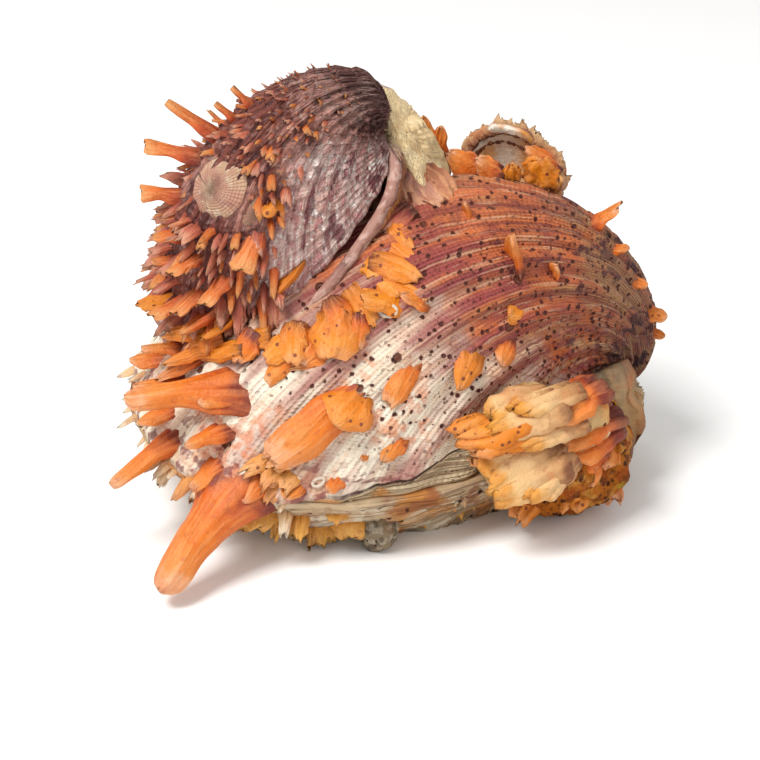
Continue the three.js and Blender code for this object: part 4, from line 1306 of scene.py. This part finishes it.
class OYSTER_OT_broken_valve(bpy.types.Operator):
    """Cupped piece of a third valve with a broken edge"""
    bl_idname = "oyster.broken_valve"
    bl_label = "Broken valve"

    def execute(self, context):
        def breaks(u):
            return 1 - 0.07 * (1 + np.sin(23 * u + 1)) - 0.03 * np.sin(61 * u)

        columns = np.linspace(0, 1, 120, endpoint=False)
        shell = make_object("broken_shell",
                            shell_part(BROKEN, BROKEN_POSE, columns, 60, breaks=breaks))

        # Gives the eye a clean white cup, warm at one side, inside a rough buff outside.
        def build(tree, place):
            outer = mark(tree, "outer")
            across = add(tree, "ShaderNodeSeparateXYZ", {0: place}).outputs[0]
            base = paint(tree, "#efe8d8", [
                (speckle(tree, place, 8.33, 0.5, 0.65), 0.7, "#e3a948"),
                (speckle(tree, place, 16.7, 0.52, 0.62), 0.8, "#cf7a26"),
                (step_up(tree, across, 0.036, 0.043), 0.9, "#de9430"),
                (step_up(tree, outer, 0.3, 0.8), "#ab7c58"),
                (step_up(tree, outer, 0.3, 0.8), speckle(tree, place, 5, 0.5, 0.62), "#7e4a38"),
            ])
            height = weighted(tree, (speckle(tree, place, 1.67, 0, 1), 0.4))
            return base, height

        material = lime("Broken calcite, white inside", build, 0.5, 0.4)
        relieved(shell, material, ribs=(16, 0.0004), steps=(10, 0.0006), lump=(0.0015, 0.008),
                 grit=0.0006)
        settle(shell, material, "broken_valve")
        orange = spine_lime("Dense calcite, orange edge", ORANGE_RAMP, BUFF_RAMP)
        frills = plates(BROKEN_FRILLS, 1.4, thick=2.4, curl=0.6, ridge=0.5, blunt=0.35, steps=26,
                        across=17)
        settle(make_object("broken_frills", joined(frills)), orange, "broken_valve")
        rust = spine_lime("Fibrous calcite, rusty rim", ORANGE_RAMP, RUST_RAMP, 0.75)
        rng = np.random.default_rng(SEED + 4)
        places = [(u, s) for s in (0.90, 0.80) for u in np.arange(0.02, 0.98, 0.03)]
        tufts = frill_fan(BROKEN, BROKEN_POSE, places, rng, (1.0, 0.5, 0.0), (2, 4),
                          (5, 9), (0.0, 0.45), thick=1.6, root=0.3, steps=10, across=13,
                          ridge=0.3)
        settle(make_object("broken_rim", joined(tufts)), rust, "broken_valve")
        return {"FINISHED"}


def knob_part(at, half, turn=0.0, tilt=0.0, rows=28, around=44):
    """A closed knob: a ball stretched to its half sizes, tilted about X and turned about Z."""
    polar = np.linspace(0.05, math.pi - 0.05, rows)[:, None]
    angle = np.linspace(0, 2 * math.pi, around, endpoint=False)[None, :]
    ball = np.stack([np.sin(polar) * np.cos(angle), np.sin(polar) * np.sin(angle),
                     np.cos(polar) + 0 * angle], -1) * np.array(half, float)
    a, b = math.radians(tilt), math.radians(turn)
    lean = np.array([[1, 0, 0], [0, math.cos(a), -math.sin(a)], [0, math.sin(a), math.cos(a)]])
    spin = np.array([[math.cos(b), -math.sin(b), 0], [math.sin(b), math.cos(b), 0], [0, 0, 1]])
    points = ball @ (spin @ lean).T + np.array(at, float)
    blank = np.ones(points.shape[:2])
    return lofted(points, {"rib": blank * angle / (2 * math.pi), "growth": blank * polar / math.pi,
                           "outer": blank})


LUMP_CORE = [((41, -31, 30), (11, 7, 9), 0, 0), ((51, -30, 31), (7, 5, 7), 25, 10),
             ((34, -37, 29), (5, 4, 6), 0, 0), ((38, -36, 24), (8, 4, 4), 0, 0)]
# start, end, way the face looks, widths, tint
LUMP_LEAVES = [
    ((46, -36, 43), (30, -46, 41), (0, -0.6, 1), (14, 16, 11), 0.3),
    ((51, -33, 43), (36, -43, 44), (0, -0.4, 1), (10, 11, 8), 0.25),
    ((58, -29, 43), (45, -41, 41), (0.2, -0.5, 1), (10, 12, 9), 0.75),
    ((44, -39, 38), (21, -48, 38), (0, -0.6, 1), (8, 11, 8), 1.0),
    ((45, -39, 35), (27, -49, 35), (0, -0.5, 1), (7, 9, 7), 0.97),
    ((46, -41, 31), (30, -51, 25), (-0.1, -0.8, 0.6), (16, 19, 16), 0.2),
    ((49, -41, 29), (40, -50, 22), (0.1, -0.8, 0.5), (10, 12, 9), 0.1),
    ((63, -26, 33), (45, -40, 32), (0.2, -0.6, 1), (10, 12, 9), 0.92),
    ((63, -26, 29), (47, -41, 27), (0.2, -0.7, 0.8), (9, 11, 9), 0.8),
    ((37, -42, 28), (25, -47, 32), (-0.4, -0.8, 0.6), (9, 9, 7), 0.5),
    ((52, -36, 36), (38, -46, 36), (0.1, -0.7, 0.8), (9, 10, 8), 0.35),
    ((58, -30, 27), (52, -36, 18), (0.4, -0.8, 0.3), (9, 12, 11), 0.85),
]
CRUST_KNOBS = [((50, -19, 15), (9, 8, 9), 0, 0), ((56, -15, 17), (7, 8, 10), 0, 0),
               ((44, -25, 14), (6, 5, 5), 0, 0), ((58, -19, 21), (5, 5, 6), 0, 20),
               ((50, -27, 19), (6, 5, 6), 0, 0), ((56, -22, 14), (6, 6, 5), 30, 0)]
# orange plates standing on the crust: start, end, way the face looks, widths, tint
CRUST_LEAVES = [
    ((60, -22, 29), (51, -37, 27), (0.1, -0.6, 0.8), (9, 12, 10), 1.0),
    ((63, -20, 24), (60, -33, 21), (0.3, -0.8, 0.6), (8, 10, 9), 0.95),
    ((54, -26, 15), (52, -37, 10), (0.1, -0.8, 0.5), (8, 10, 8), 0.98),
    ((62, -18, 14), (65, -29, 8), (0.4, -0.8, 0.4), (7, 10, 7), 0.9),
    ((44, -28, 12), (38, -38, 7), (-0.2, -0.8, 0.5), (7, 9, 7), 0.97),
    ((58, -22, 20), (57, -35, 16), (0.1, -0.8, 0.5), (7, 9, 8), 0.9),
]


def standing(rows, turn, **common):
    """Plates standing on a growth, from rows of (start, end, way it faces, widths, tint)."""
    return [leaf(start, end, up, (1, 0.3, 0), wide, bow=1, blunt=0.3, tint=tint,
                 phase=index * turn, **common)
            for index, (start, end, up, wide, tint) in enumerate(rows)]


def skinned(made, voxel):
    """Runs overlapping knobs together into one skin."""
    modifier = made.modifiers.new("Skin", "REMESH")
    modifier.mode = "VOXEL"
    modifier.voxel_size = voxel
    bake(made)
    mesh = made.data
    for key in ("rib", "growth", "outer"):
        if key in mesh.attributes:
            mesh.attributes.remove(mesh.attributes[key])
        mesh.attributes.new(key, "FLOAT", "POINT").data.foreach_set(
            "value", np.ones(len(mesh.vertices), np.float32))


class OYSTER_OT_lump(bpy.types.Operator):
    """Layered jewel-box growth and the orange crust beside it"""
    bl_idname = "oyster.lump"
    bl_label = "Lump and crust"

    def execute(self, context):
        core = make_object("lump_core", joined([knob_part(*k) for k in LUMP_CORE]))
        skinned(core, 0.0007)
        flesh = encrusted("Layered calcite, cream lump", "#c9a673", [
            (17, 0.48, 0.6, 0.8, "#e0a25e"), (8.3, 0.5, 0.64, 0.7, "#c47a3c"),
            (5, 0.55, 0.66, 0.6, "#f0e2c6")], (0.0045, 0.0007, 0.5))
        relieved(core, flesh, lump=(0.0075, 0.008), grit=0.0025, pit=(0.012, 0.0018, 0.001))
        settle(core, flesh, "frilled_lump")
        peach = spine_lime("Leafy calcite, peach and orange plate", ORANGE_RAMP,
                           [(0.0, "#7a4c2c"), (0.2, "#b98a58"), (0.5, "#d2ab78"),
                            (0.8, "#dcb27a"), (1.0, "#d08c30")], 0.65)
        leaves = standing(LUMP_LEAVES, 1.3, thick=3.2, curl=0.35, ridge=0.45, jag=1.4, steps=28,
                          across=21)
        layered = make_object("lump_leaves", joined([with_blank_marks(one) for one in leaves]))
        relieved(layered, peach, **CRAGGY)
        settle(layered, peach, "frilled_lump")
        self.crust()
        return {"FINISHED"}

    def crust(self):
        """Orange and yellow sponge-like crust."""
        made = make_object("orange_crust_skin", joined([knob_part(*k) for k in CRUST_KNOBS]))
        skinned(made, 0.0006)
        rough = encrusted("Crumbly crust, orange and yellow", "#bd6a16", [
            (14, 0.54, 0.62, 0.75, "#a8912f"), (9, 0.50, 0.60, 0.8, "#a64c14"),
            (5.5, 0.54, 0.64, 0.6, "#d9a04c"), (3.8, 0.52, 0.62, 0.7, "#6e3a12")],
            (0.003, 0.0008, 0.9), lumpy=3.0)
        relieved(made, rough, lump=(0.0085, 0.0045), grit=0.004, pit=(0.006, 0.0016, 0.0022))
        keep_above_floor(made)
        settle(made, rough, "orange_crust")
        orange = spine_lime("Leafy calcite, orange crust plate", ORANGE_RAMP, BUFF_RAMP, 0.6)
        leaves = standing(CRUST_LEAVES, 1.7, thick=2.6, curl=0.8, ridge=0.6, jag=1.6, across=17)
        settle(make_object("orange_crust_plates", joined(leaves)), orange, "orange_crust")


class OYSTER_OT_growths(bpy.types.Operator):
    """Young shells, worm tubes and the gritty pebble"""
    bl_idname = "oyster.growths"
    bl_label = "Small growths"

    def execute(self, context):
        self.spat()
        self.tubes()
        self.pebble()
        return {"FINISHED"}

    def spat(self):
        """Two young shells: low ringed cones that follow the valve beneath."""
        # Gives the eye a thin beige fan that is paler than the dark valve it grew on.
        def build(tree, place):
            growth = mark(tree, "growth")
            base = paint(tree, "#b99478", [
                (streaks(tree, 20, 3, 0.5, 0.6), 0.5, "#dcc8ae"),
                (step_up(tree, waves(tree, growth, 9), 0.2, 0.9), 0.2, "#a9866c"),
                (speckle(tree, place, 9.09, 0.48, 0.6), 0.7, "#b07a68"),
                (speckle(tree, place, 3.33, 0.55, 0.66), 0.5, "#8d5f55"),
            ])
            height = weighted(tree, (waves(tree, growth, 11), 0.08),
                              (waves(tree, mark(tree, "rib"), 44), 0.12),
                              (speckle(tree, place, 1.11, 0, 1), 0.2))
            return base, height

        material = lime("Young calcite, finely ringed", build, 0.6, 0.3)
        for name, u, s, radius, rise in (("spat_disc", 0.465, 0.62, 8.0, 2.6),
                                         ("spat_scale", 0.355, 0.67, 4.4, 1.6)):
            part = young_shell(SMALL_UPPER, SMALL_POSE, u, s, radius, rise)
            settle(make_object(name + "_shell", part), material, name)

    def tubes(self):
        """A curled white worm tube and a small ring of one."""
        # Gives the eye a few smooth white curls on the rough lime.
        def build(tree, place):
            base = paint(tree, "#cfbfac", [
                (speckle(tree, place, 2, 0.5, 0.65), 0.6, "#a8907c"),
            ])
            return base, weighted(tree, (speckle(tree, place, 0.667, 0, 1), 0.15))

        material = lime("Worm lime, smooth white", build, 0.45, 0.4)
        curl = coil_part(LARGE_UPPER, LARGE_POSE, 0.38, 0.68, 2.2, 0.75, 0.8, 1.4, 1.7)
        settle(make_object("worm_tube_coil", curl), material, "worm_tube")
        ring = coil_part(LARGE_UPPER, LARGE_POSE, 0.315, 0.965, 1.35, 0.45, 1.0, 0.0, 1.3)
        settle(make_object("ring_tube_coil", ring), material, "ring_tube")

    def pebble(self):
        """A cemented grain of grit."""
        made = make_object("pebble_skin", knob_part((-0.3, -42, 6), (3.2, 3.0, 4.0)))
        grey = encrusted("Cemented grit, grey", "#8a7a62", [
            (3.3, 0.50, 0.60, 0.8, "#5c5245"), (2, 0.5, 0.6, 0.8, "#aa9f8c"),
            (5, 0.55, 0.64, 0.5, "#8a6a4a")], (0.002, 0.0004, 0.6), 0.9, 1.2)
        relieved(made, grey, lump=(0.003, 0.003), grit=0.0015, pit=(0.005, 0.001, 0.001))
        keep_above_floor(made)
        settle(made, grey, "gritty_pebble")


def young_shell(valve, pose, u, s, radius, rise):
    """Rings of a low cone laid on a valve, closed by a flat underside."""
    here, normal, rim, out = surface_at(u, s, valve, pose)
    around = 72
    angle = np.linspace(0, 2 * math.pi, around, endpoint=False)
    rows = [(r, rise * (1 - r ** 2) + 0.05 * math.sin(r * 60)) for r in
            np.linspace(0.02, 1, 40)]
    rows += [(0.98, -0.6), (0.7, -1.0), (0.02, -1.0)]
    points, growth = [], []
    for r, z in rows:
        size = radius * r * (1 + 0.03 * np.sin(3 * angle) + 0.015 * np.sin(11 * angle))
        ring = here + rim * (size * np.cos(angle))[:, None] + out * (
            1.12 * size * np.sin(angle) + 0.12 * radius * (1 - r))[:, None]
        sag = 0.012 * size ** 2
        points.append(ring + normal * (z + 0.7 - sag)[:, None])
        growth.append(np.full(around, r))
    marks = {"growth": np.array(growth),
             "rib": np.broadcast_to(angle / (2 * math.pi), (len(rows), around))}
    return lofted(np.array(points), marks)


def coil_part(valve, pose, u, s, coil, radius, turns, rise, lift):
    """A round tube curled on a valve's surface, lifted clear of its relief."""
    here, normal, rim, out = surface_at(u, s, valve, pose)
    steps, around = 60, 14
    t = np.linspace(0, 1, steps)
    turn = 2 * math.pi * turns * t * (1 if rise else (steps - 1) / steps)
    reach = coil * (1 - 0.35 * t * (1 if rise else 0))
    centre = (here + np.outer(reach * np.cos(turn), rim) + np.outer(reach * np.sin(turn), out)
              + np.outer(lift + rise * t, normal))
    tangent = np.gradient(centre, axis=0)
    tangent /= np.linalg.norm(tangent, axis=1, keepdims=True)
    side = np.cross(tangent, normal)
    side /= np.linalg.norm(side, axis=1, keepdims=True)
    up = np.cross(side, tangent)
    angle = np.linspace(0, 2 * math.pi, around, endpoint=False)
    thick = radius * (1 - 0.3 * t * (1 if rise else 0)) * (1 + 0.05 * np.sin(40 * t))
    points = centre[:, None] + thick[:, None, None] * (
        side[:, None] * np.cos(angle)[None, :, None] + up[:, None] * np.sin(angle)[None, :, None])
    return lofted(points, {})


class OYSTER_OT_stage(bpy.types.Operator):
    """Floor, lights and camera"""
    bl_idname = "oyster.stage"
    bl_label = "Stage"

    def execute(self, context):
        side = context.scene.oyster_sizes.floor_side / 2
        mesh = bpy.data.meshes.new("floor")
        mesh.from_pydata([(-side, -side, 0), (side, -side, 0), (side, side, 0), (-side, side, 0)],
                         [], [(0, 1, 2, 3)])
        floor = bpy.data.objects.new("floor", mesh)
        context.scene.collection.objects.link(floor)
        paper = bpy.data.materials.new("Pale studio paper")
        paper.use_nodes = True
        shader = paper.node_tree.nodes["Principled BSDF"]
        shader.inputs["Base Color"].default_value = linear("#fbfaf8")
        shader.inputs["Roughness"].default_value = 0.9
        mesh.materials.append(paper)
        self.lights(context)
        self.camera(context)
        return {"FINISHED"}

    def lights(self, context):
        """A white room and two large soft boxes."""
        world = bpy.data.worlds.new("White room")
        world.use_nodes = True
        world.node_tree.nodes["Background"].inputs[0].default_value = (1, 1, 1, 1)
        world.node_tree.nodes["Background"].inputs[1].default_value = 0.62
        context.scene.world = world
        for name, place, size, power in (("key", (-0.4, -0.35, 0.9), 0.4, 10.0),
                                         ("side", (0.7, -0.5, 0.5), 0.8, 1.5)):
            lamp = bpy.data.lights.new(name, "AREA")
            lamp.size = size
            lamp.energy = power
            made = bpy.data.objects.new(name, lamp)
            made.location = place
            made.rotation_euler = (Vector((0, 0, 0.05)) - Vector(place)).to_track_quat(
                "-Z", "Y").to_euler()
            context.scene.collection.objects.link(made)
        context.scene.view_settings.view_transform = "Standard"

    def camera(self, context):
        """Looks a little down on the cluster's front side."""
        elevation, distance, target = math.radians(27), 0.6, Vector((0, 0, 0.03))
        lens = bpy.data.cameras.new("camera")
        lens.lens = 100
        lens.sensor_width = 36
        made = bpy.data.objects.new("camera", lens)
        back = Vector((0, -math.cos(elevation), math.sin(elevation)))
        made.location = target + back * distance
        made.rotation_euler = (-back).to_track_quat("-Z", "Y").to_euler()
        context.scene.collection.objects.link(made)
        context.scene.camera = made


class OYSTER_PT_panel(bpy.types.Panel):
    """Lists the cluster's pieces"""
    bl_idname = "OYSTER_PT_panel"
    bl_label = "Oyster cluster"
    bl_space_type = "VIEW_3D"
    bl_region_type = "UI"
    bl_category = "Oyster"

    def draw(self, context):
        for group in (context.scene.oyster_sizes, context.scene.oyster_colours):
            for key in group.bl_rna.properties.keys():
                if key not in ("rna_type", "name"):
                    self.layout.prop(group, key)
        for operator in OPERATORS:
            self.layout.operator(operator.bl_idname)


OPERATORS = (OYSTER_OT_large_upper, OYSTER_OT_large_lower, OYSTER_OT_small_upper,
             OYSTER_OT_small_lower, OYSTER_OT_broken_valve, OYSTER_OT_lump,
             OYSTER_OT_growths, OYSTER_OT_stage)
CLASSES = (OysterSizes, OysterColours, *OPERATORS, OYSTER_PT_panel)


def register():
    for one in CLASSES:
        bpy.utils.register_class(one)
    bpy.types.Scene.oyster_sizes = bpy.props.PointerProperty(type=OysterSizes)
    bpy.types.Scene.oyster_colours = bpy.props.PointerProperty(type=OysterColours)


def unregister():
    del bpy.types.Scene.oyster_colours
    del bpy.types.Scene.oyster_sizes
    for one in reversed(CLASSES):
        bpy.utils.unregister_class(one)


def main():
    register()
    for operator in OPERATORS:
        family, name = operator.bl_idname.split(".")
        getattr(getattr(bpy.ops, family), name)()


if __name__ == "__main__":
    main()
